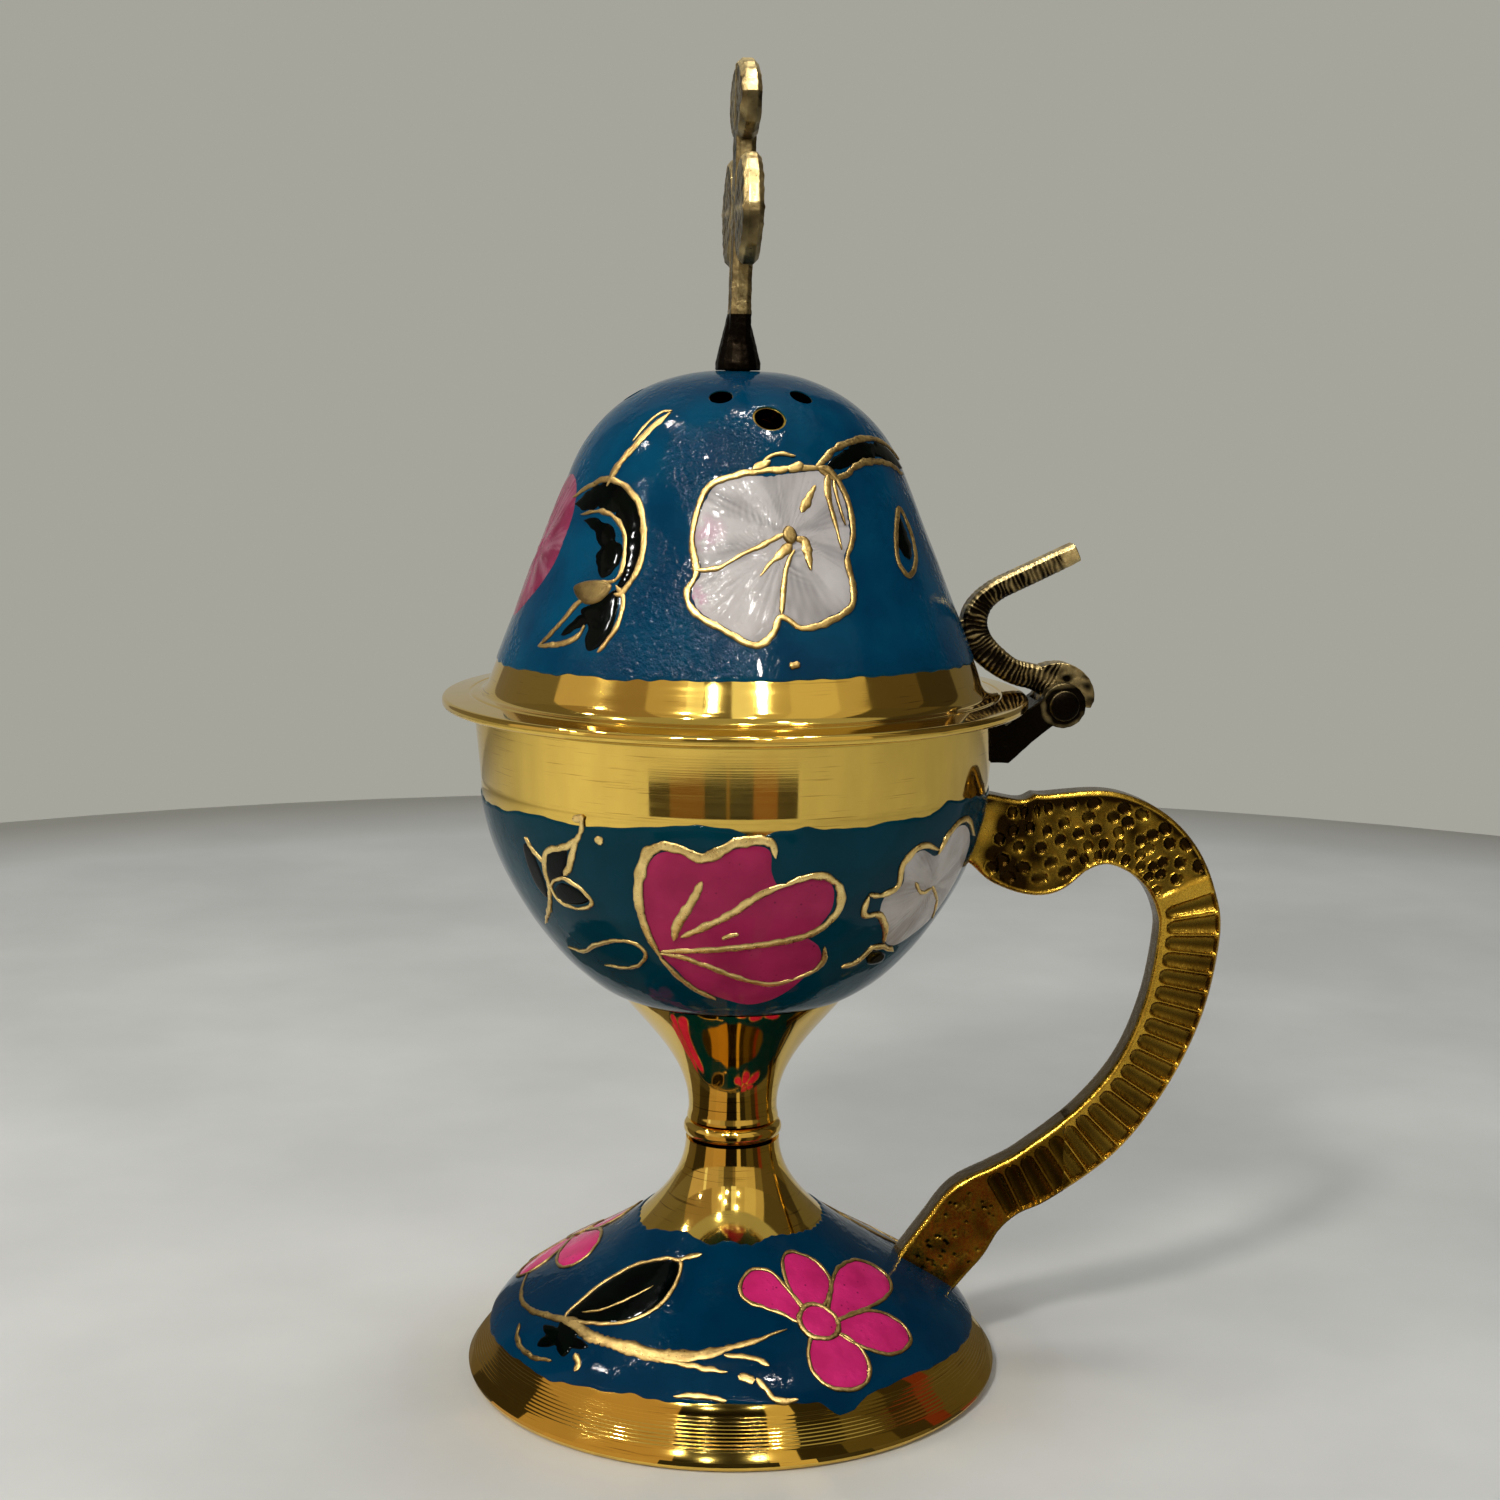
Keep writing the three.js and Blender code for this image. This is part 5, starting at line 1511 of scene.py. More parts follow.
@dataclass
class Hinge:
    """The clevis on the bowl's band, its riveted pin, and the curled thumb lever on the lid."""

    pin_x: float = 42.7
    pin_z: float = 88.85
    pin_radius: float = 1.5
    head_radius: float = 2.0
    head_height: float = 0.5
    half_width: float = 3.65
    ear_radius: float = 3.0
    lever_reach: float = 11.6
    lever_rise: float = 20.05
    stroke_pitch: float = 0.64
    stroke_depth: float = 0.1
    plain_tip: tuple = (1.9, 2.6)
    bearing: tuple = (2.0, 3.4)
    # Of these relief weights, the one for faces turned up paints light from above, and a band along the lever
    # is darker; the rest are wear and patina.
    dark_band: tuple = (19, 9)
    tip_wear: float = 0.95
    base_wear: float = 0.14
    stroke_wear: float = 0.3
    top_light: float = 0.4
    dark_band_share: float = 0.22
    patina: float = 0.14
    ear_face: float = 1.8
    bore_edge: tuple = (1.9, 2.2)
    voxel: float = 0.12
    path_shares: tuple = ((0.16, 0.99), (-0.06, 0.93), (-0.3, 0.865), (-0.55, 0.798), (-0.75, 0.742),
                          (-0.9, 0.672), (-0.983, 0.59), (-1, 0.5), (-0.94, 0.4), (-0.776, 0.302),
                          (-0.526, 0.207), (-0.293, 0.172), (-0.1, 0.12))

    def lever(self) -> Surface:
        """The lever, with hammered strokes across its sides except on its bright tip.

        A stroke's depth is a cosine of the distance along the lever's own line, bent by a ripple.
        """
        blank, outward = cast_copy("thumb_lever", self.voxel, 3)
        points = blank.points
        line = spline(np.array(self.path_shares), 30, closed=False) * [self.lever_reach, self.lever_rise]
        line += [self.pin_x, self.pin_z]
        near = np.array([np.argmin(((line - place) ** 2).sum(axis=1)) for place in points[:, [0, 2]]])
        along = travelled(line)[near]
        bent = along + 0.22 * ripple(points, 1.8, 7)
        stroke = 0.5 + 0.5 * np.cos(2 * math.pi * bent / self.stroke_pitch)
        plain = smooth_step(along, *self.plain_tip)
        bearing = smooth_step(self.from_pin(points), *self.bearing)
        share = plain * bearing * (0.35 + 0.65 * np.abs(outward[:, 1]))
        lift = share * self.stroke_depth * (stroke - 1) - 0.04 * (1 - ripple(points, 1.2, 8)) / 2
        blank.points = points + outward * (lift * bearing)[:, None]
        # Faces turned up are lighter: painted light from above.
        upper = smooth_step(outward[:, 2], 0.1, 0.6)
        marks = ripple(blank.points, 2.5, 10)
        wear_and_light = self.base_wear + self.stroke_wear * stroke**2 + self.top_light * upper
        # A band along the lever is darker.
        wear_and_light = wear_and_light - self.dark_band_share * hump(along, *self.dark_band) + self.patina * marks
        blank.relief = np.clip(self.tip_wear * (1 - plain) + plain * wear_and_light, 0, 1)
        return blank

    def from_pin(self, points: Array) -> Array:
        """Distances from the pin's axis."""
        return np.hypot(points[:, 0] - self.pin_x, points[:, 2] - self.pin_z)

    def bracket(self) -> Surface:
        """The clevis, soft and brighter round the rims of its ears."""
        blank, outward = cast_copy("hinge_bracket", self.voxel, 3)
        points = blank.points
        spread = self.from_pin(points)
        rim = hump(spread, self.ear_radius - 0.25, 0.4) * (np.abs(points[:, 1]) > self.ear_face)
        marks = ripple(points, 1.4, 9)
        free = smooth_step(spread, *self.bore_edge)
        blank.points = points + outward * (free * (0.02 * marks - 0.02))[:, None]
        wear_and_light = 0.5 + 0.5 * ripple(blank.points, 3.5, 12)
        blank.relief = np.clip(0.04 + 0.3 * rim * wear_and_light + 0.05 * marks, 0, 1)
        return blank

    def pin(self) -> Surface:
        """The pin with its two flattened, domed heads, turned about the hinge's axis."""
        half, head = self.half_width, self.head_radius
        dome = bend((head, half), 80, 0.25, (0.25, half + self.head_height), 180, 1.0, 12)
        side = np.vstack([[(self.pin_radius, 0), (self.pin_radius, half - 0.02), (head - 0.1, half)], dome])
        outline = np.vstack([side[::-1] * [1, -1], side[1:]])
        turn = whole_turn(64)
        radius, along = outline[:, :1], outline[:, 1:]
        x, z = self.pin_x + radius * np.cos(turn), self.pin_z + radius * np.sin(turn)
        wear_and_light = np.where(np.abs(along) > half, 0.04, 0.24) + 0.16 * hump(radius, head, 0.2)
        return close_rows(np.stack([x, along + 0 * turn, z], axis=-1), Ends.POLES, wear_and_light + 0 * turn)

    def build(self) -> None:
        """Makes the clevis, pin and lever."""
        look = (Body.BASE, Slot.ANTIQUE)
        add_piece("hinge_clevis", self.bracket(), ANTIQUE, *look, ("hinge_bracket",), CAST_CREASE)
        add_piece("hinge_rivet", self.pin(), ANTIQUE, *look, ("hinge_pin",))
        look = (Body.LID, Slot.ANTIQUE)
        add_piece("lever_casting", self.lever(), ANTIQUE, *look, ("thumb_lever",), CAST_CREASE)


# The handle


@dataclass
class Handle:
    """The flat cast handle: a head with punched dimples, a grip of scooped ribs, a plain lower end."""

    reach: float = 65.65
    crest: float = 77.4
    width: float = 13.7
    thickness: float = 4.2
    edge: float = 0.7
    ribs: int = 21
    rib_depth: float = 0.75
    rib_border: float = 0.9
    rib_start: float = 0.372
    rib_end: float = 0.853
    rows: int = 960
    even_rows: int = 24
    face_columns: int = 36
    crease: float = 50.0
    dimple_rows: tuple = (-0.74, -0.4, -0.04, 0.32, 0.66)
    dimple_pitch: float = 2.75
    dimple_start: float = 9.0
    dimple_stagger: float = 1.3
    dimple_margin: float = 3.2
    dimple_jitter: float = 0.32
    dimple_radius: float = 0.8
    dimple_depth: float = 0.28
    dimple_ring: tuple = (0.25, 0.2)
    ring_rise: float = 0.24
    head_sink: float = 0.28
    head_swell: float = 0.08
    lower_swell: float = 0.1
    pits_a_side: int = 34
    pit_radius: float = 0.24
    pit_depth: float = 0.16
    # These relief values mix wear with painted shade in the channels, dimple cores and side walls, painted
    # highlight on the rings round the dimples, and darker ends.
    wear: float = 1.05
    channel_dark: float = 0.86
    head_dark: float = 0.86
    dimple_dark: float = 0.1
    head_patina: float = 0.14
    ring_bright: float = 0.3
    ridge_bright: float = 0.6
    pit_dark: float = 0.6
    lower_dark: float = 0.34
    lower_patina: float = 0.3
    border_dark: float = 0.3
    upper_dark: tuple = (10, 3.4)
    upper_light_spot: tuple = (7, 1.2)
    end_dark_reach: float = 3.0
    edge_wear: float = 0.8
    wall_shade: float = 0.2
    buried_depth: float = 0.5
    line_shares: tuple = ((0.4, 0.947, 0.677), (0.49, 0.936, 0.696), (0.554, 0.912, 0.87), (0.622, 0.906, 1),
                          (0.694, 0.927, 0.8), (0.767, 0.931, 0.711), (0.837, 0.906, 0.672),
                          (0.891, 0.862, 0.635), (0.924, 0.804, 0.613), (0.934, 0.74, 0.626),
                          (0.907, 0.614, 0.613), (0.846, 0.496, 0.584), (0.752, 0.396, 0.62),
                          (0.629, 0.32, 0.6), (0.562, 0.292, 0.577), (0.501, 0.259, 0.672),
                          (0.46, 0.211, 0.708), (0.431, 0.181, 0.693), (0.383, 0.13, 0.672))

    def stations(self) -> tuple[Array, Array, Array, float]:
        """Even steps along the handle: centres, averaged directions across, half widths, and length."""
        knots = np.array(self.line_shares) * [self.reach, self.crest, self.width / 2]
        line = spline(knots, 60, closed=False)
        travel = travelled(line[:, :2])
        wanted = np.linspace(0, travel[-1], self.rows)
        even = np.stack([np.interp(wanted, travel, line[:, k]) for k in range(3)], axis=1)
        padded = np.pad(np.gradient(even[:, :2], axis=0), ((self.even_rows, self.even_rows), (0, 0)), "edge")
        window = 2 * self.even_rows + 1
        kernel = np.full(window, 1 / window)
        run = np.stack([np.convolve(padded[:, k], kernel, "valid") for k in range(2)], axis=1)
        return even[:, :2], left_of(unit(run)), even[:, 2], float(travel[-1])

    def scoops(self, along: Array, across: Array, half: Array, length: float) -> Array:
        """Depth of the ribs' channels.

        Across one pitch a channel is half an ellipse; at the inner border it ends in a quarter
        sphere, so q is the distance from the channel's own line over its radius and the depth is
        (1 - q^2)^(1/2).
        """
        start, end = self.rib_start * length, self.rib_end * length
        pitch = (end - start) / self.ribs
        radius = 0.45 * pitch
        phase = (along - start) / pitch
        beside = (phase - np.floor(phase) - 0.5) * pitch
        past = np.minimum(across - (-half + self.rib_border + radius), 0)
        q = (beside**2 + past**2) / radius**2
        inside = (along > start) & (along < end)
        return inside * self.rib_depth * np.sqrt(np.clip(1 - q, 0, 1))

    def punched(self, along: Array, across: Array, half: Array, spots: Array, radius: float) -> Array:
        """Depth, up to 1, of round dents exp(-(d / radius)^4) at spots.

        A spot is its distance along the handle and its place across it, as a share of the half
        width there.
        """
        depth = np.zeros(across.shape)
        middle = spots[:, 1] * np.interp(spots[:, 0], along[:, 0], half[:, 0])
        for step, offset in zip(spots[:, 0], middle):
            distance = ((along - step) ** 2 + (across - offset) ** 2) / radius**2
            depth = np.maximum(depth, np.exp(-(distance**2)))
        return depth

    def dimples(self, length: float, side: int) -> Array:
        """Spots for the head's dimples: five jittered rows up to the ribs."""
        draw = np.random.default_rng(31 + side)
        end = self.rib_start * length - self.dimple_margin
        places = []
        for row, offset in enumerate(self.dimple_rows):
            start = self.dimple_start + self.dimple_stagger * (row % 2)
            for step in np.arange(start, end, self.dimple_pitch):
                along, across = draw.normal(0, self.dimple_jitter), draw.normal(0, 0.04)
                places.append((step + along, offset + across))
        return np.array(places)

    def pits(self, length: float, side: int) -> Array:
        """Spots for the casting pits of the plain lower end."""
        draw, count = np.random.default_rng(47 + side), self.pits_a_side
        along = draw.uniform(length * self.rib_end + 1, length - 2, count)
        return np.stack([along, draw.uniform(-0.8, 0.8, count)], axis=1)

    def face(self, across: Array, half: Array, length: float, side: int) -> tuple[Array, Array]:
        """How deep one face lies under a flat bar's, and its relief of wear and painted light and shade.

        The ribs' channels are deepest. The head is sunk but for the ring that a punch raises round
        each dimple. Wear is high on what hands touch. The channels and the dimples' cores are darkened as
        painted shade and the rings round the dimples lightened as painted highlight; the pits and the two
        ends are darker.

        Args:
            across: distances from the middle line, a row per station.
            half: the half width at each station.
            length: the handle's length.
            side: 1 or -1, for the two faces.

        Returns:
            The depths, and the relief values.
        """
        along = np.linspace(0, length, self.rows)[:, None]
        start, end = self.rib_start * length, self.rib_end * length
        place = np.stack([along + 0 * across, across, side + 0 * across], axis=-1)
        scoop = self.scoops(along, across, half, length)
        dimple = self.punched(along, across, half, self.dimples(length, side), self.dimple_radius)
        pit = self.punched(along, across, half, self.pits(length, side), self.pit_radius)
        head = 1 - smooth_step(along, start - 2.4, start - 1.4)
        lower = smooth_step(along, end, end + 2)
        ring = hump(dimple, *self.dimple_ring)
        sunk = self.head_sink - self.ring_rise * ring + self.head_swell * ripple(place, 2.4, 22)
        depth = np.maximum(scoop, self.dimple_depth * dimple * head)
        depth += head * sunk + self.pit_depth * pit
        depth += self.lower_swell * lower * (1 + ripple(place, 3.0, 21))
        patina = ripple(place, 4.0, 23)
        # Channels and dimple cores are darkened as painted shade, and the rings round the dimples lightened
        # as painted highlight.
        dull = self.head_dark + self.dimple_dark * dimple + self.head_patina * patina
        dull = dull - self.ring_bright * ring
        wear_and_light = self.wear - self.channel_dark * scoop / self.rib_depth - head * dull
        wear_and_light += self.ridge_bright * hump(along, start - 0.9, 0.5) - self.pit_dark * pit
        wear_and_light -= lower * (self.lower_dark + self.lower_patina * patina)
        wear_and_light -= self.border_dark * head * smooth_step(across / half, 0.6, 0.9)
        # Both ends are darker, with a lighter spot near the upper one.
        end_dark = hump(along, *self.upper_dark) * (0.26 + 0.2 * patina) - 0.4 * hump(along, *self.upper_light_spot)
        end_dark += 0.5 * hump(along, length, self.end_dark_reach)
        return depth, np.clip(wear_and_light - end_dark, 0, 1)

    def surface(self, bowl: Profile, foot: Profile) -> Surface:
        """The handle: a bar with rounded edges carried along its line, with relief on both faces."""
        centre, way, half, length = self.stations()
        width, thick = half[:, None], self.thickness / 2
        flat = np.linspace(-1, 1, self.face_columns)
        wall = np.linspace(1, -1, 5) * (thick - self.edge)
        corner = np.radians(np.linspace(0, 90, 5)[1:-1])
        sine, cosine = self.edge * np.sin(corner), self.edge * np.cos(corner)
        inset, lower = width - self.edge, thick - self.edge
        parts = []
        for side in (-1, 1):
            across = flat * -side * inset
            depth, wear_and_light = self.face(across, width, length, side)
            parts.append((across, side * (thick - depth), wear_and_light))
            parts.append((-side * (inset + sine), side * (lower + cosine), self.edge_wear))
            # The side walls are darkened as painted shade.
            parts.append((-side * width, side * wall, self.wall_shade))
            parts.append((-side * (inset + cosine), -side * (lower + sine), self.edge_wear))
        offset, level, relief = (np.hstack(group) for group in zip(*(np.broadcast_arrays(*p) for p in parts)))
        x, z = (centre[:, k : k + 1] + way[:, k : k + 1] * offset for k in (0, 1))
        points = np.stack([x, level, z], axis=-1)
        for profile in (bowl, foot):
            points = buried(points, profile, self.buried_depth)
        return close_rows(points, Ends.POLES, relief)

    def build(self, bowl: Profile, foot: Profile) -> None:
        """Makes the handle, trimmed in the walls of the bowl and the foot."""
        bar = self.surface(bowl, foot)
        add_piece("handle_casting", bar, GILDED, Body.BASE, Slot.GILDED, ("handle",), self.crease)


# The pan and the fasteners


@dataclass
class EmberPan:
    """The loose pan for the charcoal, hung by its rim in the bowl."""

    rim_height: float = 66.8
    rim_radius: float = 26.81
    rim_width: float = 1.6
    depth: float = 9.0
    floor_radius: float = 12.5
    wall: float = 0.9
    middle: float = 0.4
    columns: int = 200

    def build(self) -> None:
        """Makes the pan: a bent wall between a flat floor and a flat rim with a rounded edge."""
        floor, top = self.rim_height - self.depth, self.rim_height + self.wall
        lip = (self.rim_radius - self.rim_width, self.rim_height)
        outer = bend((self.floor_radius, floor), 0, 8, lip, 90, 4, 40)
        inner = moved(outer, self.wall)
        side = self.rim_radius - 0.3
        edge = bend((side, self.rim_height), 0, 0.3, (side, top), 180, 0.3, 10)
        start, end = [(self.middle, floor)], [(self.middle, floor + self.wall)]
        closed = np.vstack([start, outer, edge, [(inner[-1, 0], top)], inner[:-1][::-1], end])
        surface = turned(closed, self.columns, Ends.POLES)
        add_piece("ember_pan_fine", surface, INSIDE, Body.PAN, Slot.POLISHED, ("ember_pan",), LATHE_CREASE)


@dataclass
class Fasteners:
    """The tie screw in the stem, the cross's nut, and their washers and nuts."""

    bolt_radius: float = 2.45
    head_height: float = 2.6
    head_radius: float = 4.6
    head_crown: float = 0.7
    slot_width: float = 1.2
    slot_depth: float = 1.1
    thread_pitch: float = 0.8
    thread_depth: float = 0.32
    thread_length: float = 9.0
    bore: float = 2.75
    tenon_bore: float = 1.75
    bowl_washer_radius: float = 6.5
    foot_washer_radius: float = 5.6
    foot_nut_width: float = 8.0
    cross_washer_radius: float = 3.8
    cross_nut_width: float = 5.5
    columns: int = 72
    crease: float = 20.0

    def washer(self, node: str, radius: float, bore: float) -> Surface:
        """A round disc with a hole and rounded outer edges, at a CAD washer's height."""
        base, top = levels(node)
        curve = (top - base) * 0.3
        outer = bend((radius - curve, base), 0, curve, (radius - curve, top), 180, curve, 12)
        return turned(np.vstack([[(bore, base)], outer, [(bore, top)]]), self.columns)

    def nut(self, node: str, across: float, bore: float) -> Surface:
        """A hexagon nut: the least of the hexagon's radius and a cone that takes off its corners."""
        base, top = levels(node)
        height = top - base
        turn = whole_turn(2 * self.columns)
        flat = across / 2 / np.cos((turn + math.pi / 6) % (math.pi / 3) - math.pi / 6)
        level = np.array([0, 0.04, 0.3, 0.7, 0.96, 1.0]) * height
        cone = across / 2 * (1.01 + 1.6 * np.minimum(level, height - level) / height)
        hole = np.full(turn.shape, bore)
        radius = np.vstack([hole, np.minimum(flat, cone[:, None]), hole])
        rise = np.concatenate([[0], level, [height]])[:, None] + base
        return close_rows(swept(radius, turn, rise), Ends.RING)

    def screw(self) -> Surface:
        """The tie screw; its thread is a ridge that climbs one pitch a turn, |saw| of z - turn."""
        turn = whole_turn(self.columns)
        tail, top = levels("stem_bolt")
        under, thread_top, shoulder = top - self.head_height, tail + self.thread_length, top - self.head_crown
        height = np.append(np.linspace(tail + 0.3, thread_top, 110), [thread_top + 1, under])[:, None]
        climb = (height - self.thread_pitch * turn / (2 * math.pi)) / self.thread_pitch
        saw = 2 * np.abs(climb - np.floor(climb) - 0.5)
        fade = 1 - smooth_step(height, thread_top - 1.5, thread_top)
        shank = self.bolt_radius - self.thread_depth * fade * saw
        foot = [(0.3, tail), (self.bolt_radius - 0.4, tail)]
        head = [(self.head_radius, under), (self.head_radius, shoulder),
                (self.head_radius - self.head_crown, top), (0.3, top)]
        rings = np.array(foot + head)[:, :, None] + 0 * turn
        radius = np.vstack([rings[:2, 0], shank, rings[2:, 0]])
        rise = np.vstack([rings[:2, 1], height + 0 * turn, rings[2:, 1]])
        return close_rows(swept(radius, turn, rise), Ends.POLES)

    def build(self) -> None:
        """Makes the screw with its slot, and every washer and nut."""
        steel, brass = (STEEL, Body.BASE, Slot.STEEL), (INSIDE, Body.LID, Slot.POLISHED)
        screw = add_piece("tie_screw", self.screw(), *steel, ("stem_bolt",), LATHE_CREASE)
        top, half = levels("stem_bolt")[1], self.slot_width / 2
        corners = [(-half, -1), (half, -1), (half, 1), (-half, 1)]
        ends = [[(side * 7, y, top + z * self.slot_depth) for y, z in corners] for side in (-1, 1)]
        cut_away(screw, close_rows(np.array(ends, float), Ends.POLES))
        parts = [
            ("bowl_washer", self.washer, self.bowl_washer_radius, self.bore, steel),
            ("foot_washer", self.washer, self.foot_washer_radius, self.bore, steel),
            ("foot_nut", self.nut, self.foot_nut_width, self.bore, steel),
            ("cross_washer", self.washer, self.cross_washer_radius, self.tenon_bore, brass),
            ("cross_nut", self.nut, self.cross_nut_width, self.tenon_bore, brass),
        ]
        for node, make, size, bore, look in parts:
            add_piece(f"{node}_fine", make(node, size, bore), *look, (node,), self.crease)


# The studio


@dataclass(frozen=True)
class Screens:
    """Plain glowing bands side by side round the axis, seen only in reflections: painted reflections in the
    metal.

    A band is its end angle and the red, green and blue that a mirror shows of it. A strip is its
    name and the (radius, height) of its two edges, and every band has a sheet in each strip.
    """

    start: float
    strips: tuple
    bands: tuple


@dataclass
class Studio:
    """A pale floor that fades into the background, soft lamps, and the photograph's view."""

    pitch: float = 9.3
    roll: float = 0.454
    azimuth: float = -7.5
    distance: float = 311.0
    height: float = 134.0
    aside: float = 1.93
    lens: float = 58.32
    sensor: float = 36.0
    nearest: float = 0.01
    aim: tuple = (0, 0, 85)
    floor_radius: float = 425.0
    floor_fade: tuple = (0.86, 0.99)
    floor_thickness: float = 1.0
    backdrop: tuple = tint(166, 165, 156)
    floor_colour: tuple = tint(206, 208, 206)
    floor_clouds: tuple = tint(222, 224, 222)
    lamps: tuple = (
        ("key", (-230, -360, 430), 80, 1.3, tint(255, 250, 242)),
        ("left", (-480, -60, 260), 260, 0.8, tint(255, 252, 246)),
        ("right", (420, -220, 300), 120, 0.15, tint(246, 250, 255)),
        ("top", (60, 90, 520), 200, 0.5, tint(255, 252, 248)),
    )
    bulb_reach: float = 560.0
    bulb_size: float = 20.0
    bulbs: tuple = (
        (-126, 55, 0.9), (-122, 38, 0.9), (-112, 43, 0.7), (-88, 49, 0.6), (-108, 33, 0.6), (-84, 35, 0.7),
        (-165, 31, 0.4), (162, 62, 0.7), (29, 74, 0.7), (-50, 72, 0.7), (60, 85, 0.7), (172, 48, 0.4),
    )
    sheet_steps: int = 8
    screens: tuple = (
        Screens(-240, (("low_screen", (600, 20), (600, 400)),), (
            (-190, 112, 106, 98), (-160, 198, 182, 164), (-154, 255, 254, 250), (-128, 194, 176, 156),
            (-116, 176, 164, 146), (-96, 96, 88, 76), (-90, 130, 116, 98), (-64, 206, 192, 166),
            (-46, 200, 186, 160), (-30, 116, 106, 88), (0, 84, 74, 60), (26, 50, 44, 34), (60, 98, 94, 84),
        )),
        Screens(-240, (("high_screen", (600, 400), (600, 900)),), (
            (-190, 104, 98, 88), (-141, 148, 130, 110), (-121, 192, 176, 152), (-113, 255, 252, 244),
            (-99, 112, 104, 92), (-88, 255, 255, 250), (-70, 196, 184, 160), (-46, 214, 204, 180),
            (-30, 190, 178, 154), (20, 80, 72, 58), (60, 58, 52, 42),
        )),
        Screens(-220, (("near_screen", (45, 0.3), (45, 34)), ("near_skirt", (35.3, 0.3), (45, 0.3))), (
            (-190, 96, 86, 68), (-160, 52, 46, 36), (-140, 180, 152, 116), (-112, 190, 160, 122),
            (-87, 16, 14, 10), (-79, 205, 186, 150), (-66, 40, 36, 26), (-50, 84, 76, 54), (-38, 52, 44, 30),
            (-30, 110, 46, 34), (20, 84, 76, 56),
        )),
        # A striped card on the floor before the camera, seen only in reflections: painted dark reflections in
        # the bowl's band.
        Screens(-133, (("band_reflection_card", (200, 0.5), (265, 0.5)),), (
            (-124, 40, 31, 18), (-109.5, 104, 70, 34), (-100.4, 3, 3, 2), (-99.3, 124, 96, 48),
            (-89.5, 3, 3, 2), (-79.5, 120, 78, 38), (-71, 38, 30, 16),
        )),
    )

    def camera(self) -> None:
        """Sets the camera from its pitch, azimuth and roll, and its place beside the axis."""
        pitch, turn, roll = (math.radians(a) for a in (self.pitch, self.azimuth, self.roll))
        back = np.array([math.sin(turn), -math.cos(turn), 0.0])
        forward = np.array([-back[0] * math.cos(pitch), -back[1] * math.cos(pitch), -math.sin(pitch)])
        right = unit(np.cross(forward, [0, 0, 1]))
        up = np.cross(right, forward)
        side = right * math.cos(roll) + up * math.sin(roll)
        top = up * math.cos(roll) - right * math.sin(roll)
        place = back * self.distance + [0, 0, self.height] + right * self.aside
        camera = put("camera", bpy.data.cameras.new("camera"))
        camera.data.lens, camera.data.sensor_width = self.lens, self.sensor
        camera.data.clip_start = self.nearest
        pose(camera, side, top, -forward, place * MM + AXIS)
        bpy.context.scene.camera = camera

    def floor(self) -> None:
        """A round floor whose colour fades to the background's at its edge."""
        reach = self.floor_radius * np.linspace(0, 1, 40)[1:, None]
        top = swept(reach, whole_turn(96), 0 * reach)
        rows = np.vstack([top, top[::-6] - [0, 0, self.floor_thickness]])
        floor = put("floor", make_mesh("floor", close_rows(rows, Ends.POLES), LATHE_CREASE))
        shader = Shader("pale_floor")
        away = shader.node("VectorMath", {0: shader.object}, operation="LENGTH")["Value"]
        fade = shader.ranged(away, *(self.floor_radius * share * MM for share in self.floor_fade))
        clouds = shader.ranged(shader.noise(60, 5), 0.35, 0.7)
        marble = shader.mix(clouds, self.floor_colour, self.floor_clouds)
        shader.set("Base Color", shader.mix(fade, marble, self.backdrop))
        shader.set("Roughness", 0.55)
        floor.data.materials.append(shader.material)

    def sheet(self, name: str, start: float, end: float, near: tuple, far: tuple, colour: tuple) -> None:
        """A plain glowing band round the axis, seen only in the metal's reflections.

        Args:
            name: its name.
            start: the angle where it begins.
            end: the angle where it ends.
            near: (radius, height) of its lower or inner edge.
            far: (radius, height) of its upper or outer edge.
            colour: what a mirror shows of it.
        """
        turn = np.radians(np.linspace(start, end, self.sheet_steps + 1))
        edges = np.array([near, far], float)
        points = swept(edges[:, :1], turn, edges[:, 1:]).reshape(-1, 3)
        first = np.arange(self.sheet_steps)
        faces = first[:, None] + [0, 1, len(turn) + 1, len(turn)]
        sheet = put(name, make_mesh(name, Surface(points, [faces], np.zeros(len(points))), LATHE_CREASE))
        shader = Shader(name)
        shader.set("Base Color", tint(0, 0, 0))
        shader.set("Roughness", 1.0)
        shader.set("Emission Color", colour)
        shader.set("Emission Strength", 1.0)
        sheet.data.materials.append(shader.material)
        sheet.visible_camera = False
        sheet.visible_diffuse = False
        sheet.visible_shadow = False

    def reflections(self) -> None:
        """Light and dark screens round the censer and a dark striped card before the camera: painted
        reflections.
        """
        for screens in self.screens:
            start = screens.start
            for number, (end, *colour) in enumerate(screens.bands):
                for name, near, far in screens.strips:
                    self.sheet(f"{name}_{number}", start, end, near, far, tint(*colour))
                start = end

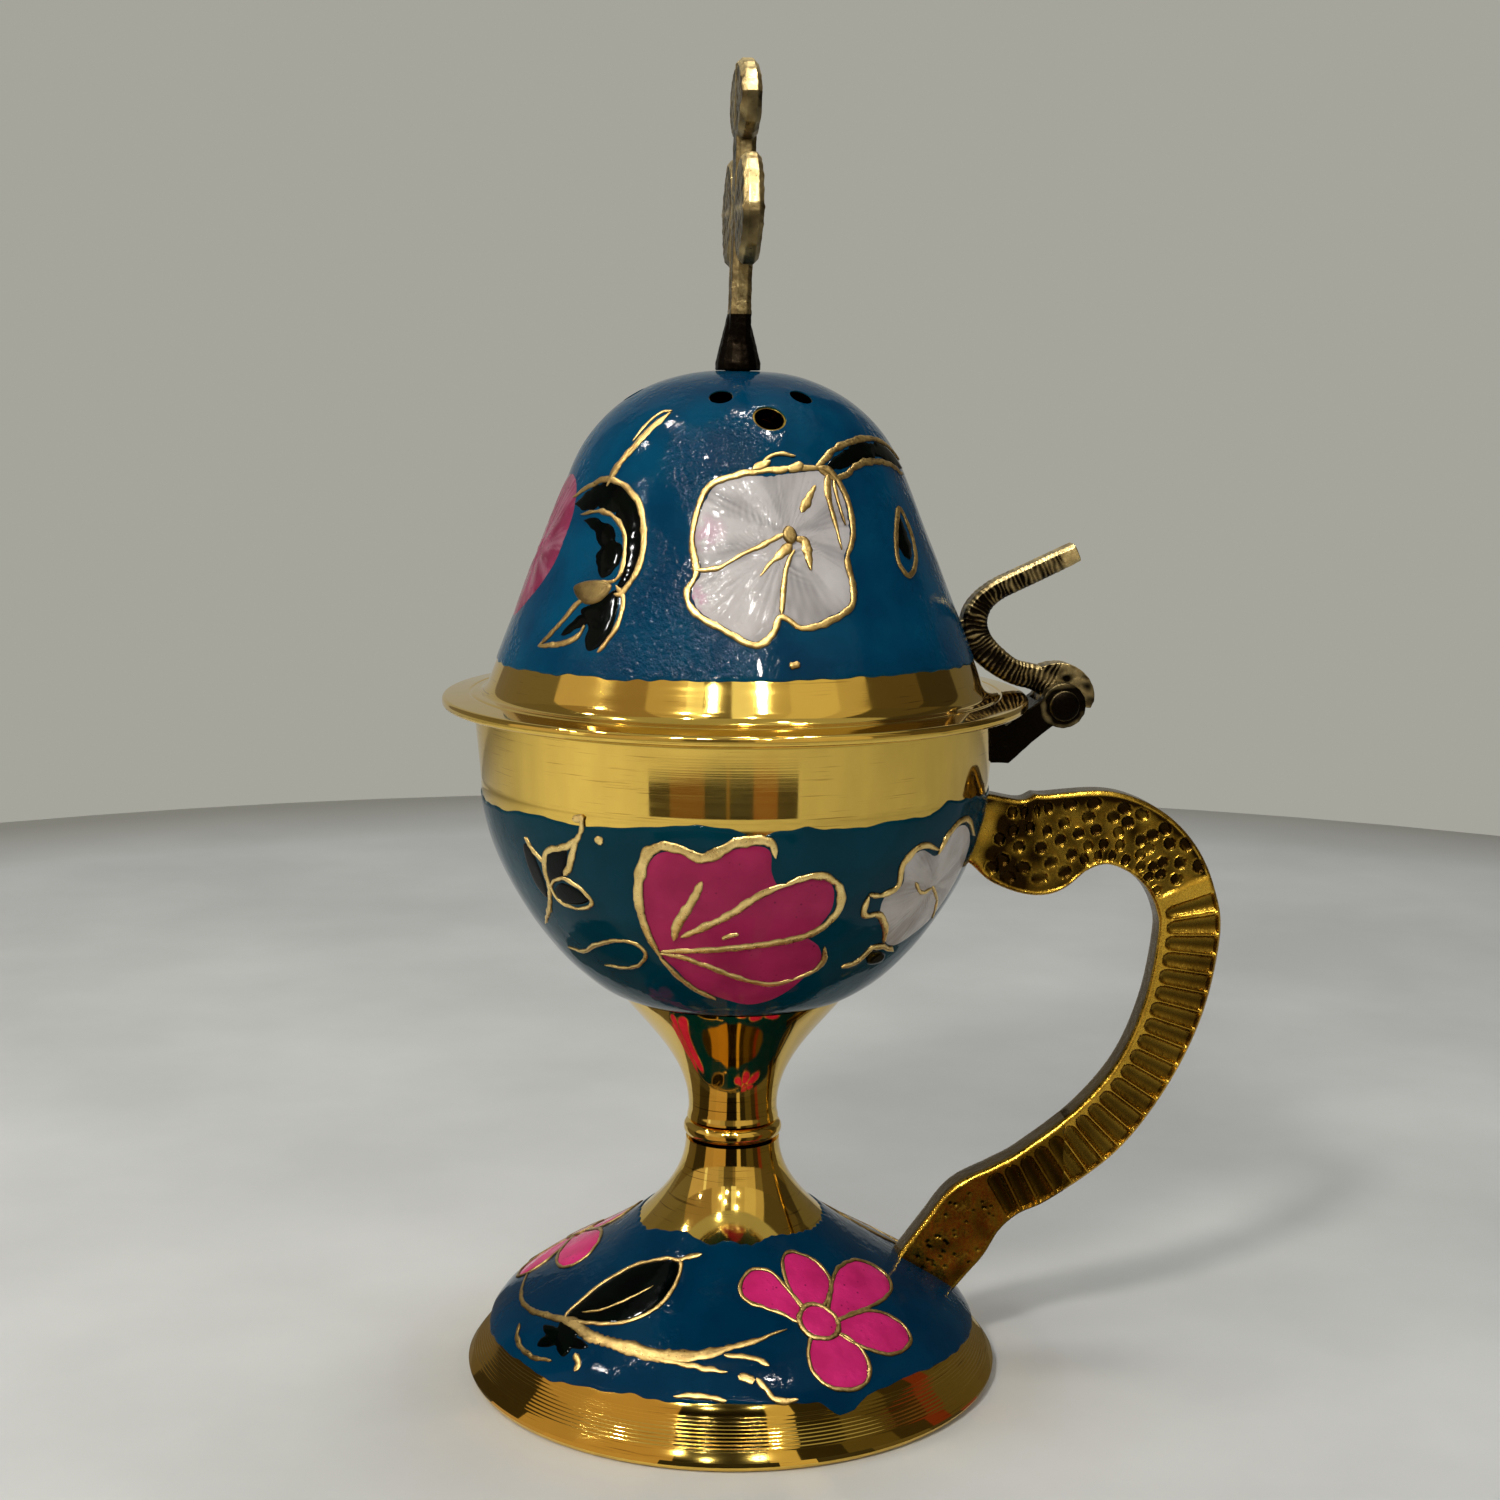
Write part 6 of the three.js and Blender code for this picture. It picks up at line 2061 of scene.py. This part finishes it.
    def world(self) -> None:
        """The background's colour for the camera, gloss and glass, and a soft white light besides."""
        world = bpy.data.worlds.new("studio")
        bpy.context.scene.world = world
        world.use_nodes = True
        nodes = Nodes(world.node_tree)
        rays = nodes.node("LightPath")
        seen = nodes.maths("MAXIMUM", rays["Is Camera Ray"], rays["Is Glossy Ray"])
        through = nodes.maths("MAXIMUM", seen, rays["Is Transmission Ray"])
        light = nodes.node("Background", {0: tint(250, 250, 250), 1: 0.3})[0]
        back = nodes.node("Background", {0: self.backdrop, 1: 1.0})[0]
        nodes.node("OutputWorld", {0: nodes.node("MixShader", {0: through, 1: light, 2: back})[0]})

    def lamp(self, name: str, place: Array, size: float, power: float, colour: tuple) -> bpy.types.Object:
        """A round lamp that looks at the middle of the censer.

        Args:
            name: its name.
            place: where it hangs, in millimetres from the bowl's axis.
            size: its diameter.
            power: its strength in watts.
            colour: its colour.

        Returns:
            The lamp.
        """
        data = bpy.data.lights.new(name, "AREA")
        data.shape = "DISK"
        data.size, data.energy, data.color = size * MM, power, colour[:3]
        lamp = put(name, data)
        away = unit(place - self.aim)
        side = unit(np.cross([0, 0, 1], away))
        pose(lamp, side, np.cross(away, side), away, place * MM + AXIS)
        return lamp

    def lights(self) -> None:
        """Soft lamps that nothing mirrors, and small bulbs that glint in the enamel and the metal."""
        for name, place, size, power, colour in self.lamps:
            self.lamp(name, np.array(place, float), size, power, colour).visible_glossy = False
        for number, (turn, rise, power) in enumerate(self.bulbs):
            turn, rise = math.radians(turn), math.radians(rise)
            way = np.array([math.cos(turn) * math.cos(rise), math.sin(turn) * math.cos(rise), math.sin(rise)])
            place = self.bulb_reach * way + self.aim
            bulb = self.lamp(f"bulb_{number}", place, self.bulb_size, power, tint(255, 254, 250))
            bulb.visible_diffuse = False

    def build(self) -> None:
        """Sets the camera, floor, background, lamps and the way colours are shown."""
        self.camera()
        self.floor()
        self.reflections()
        self.world()
        self.lights()
        bpy.context.scene.view_settings.view_transform = "Standard"


def main() -> None:
    """Builds the studio and every sub-assembly of the censer in order."""
    logging.basicConfig(level=logging.INFO, format="%(name)s: %(message)s")
    Studio().build()
    foot, bowl = Foot(), Bowl()
    foot.build()
    Stem().build(bowl.profile())
    bowl.build()
    Lid().build()
    Cross().build()
    Hinge().build()
    Handle().build(bowl.profile(), foot.profile())
    EmberPan().build()
    Fasteners().build()


if __name__ == "__main__":
    main()
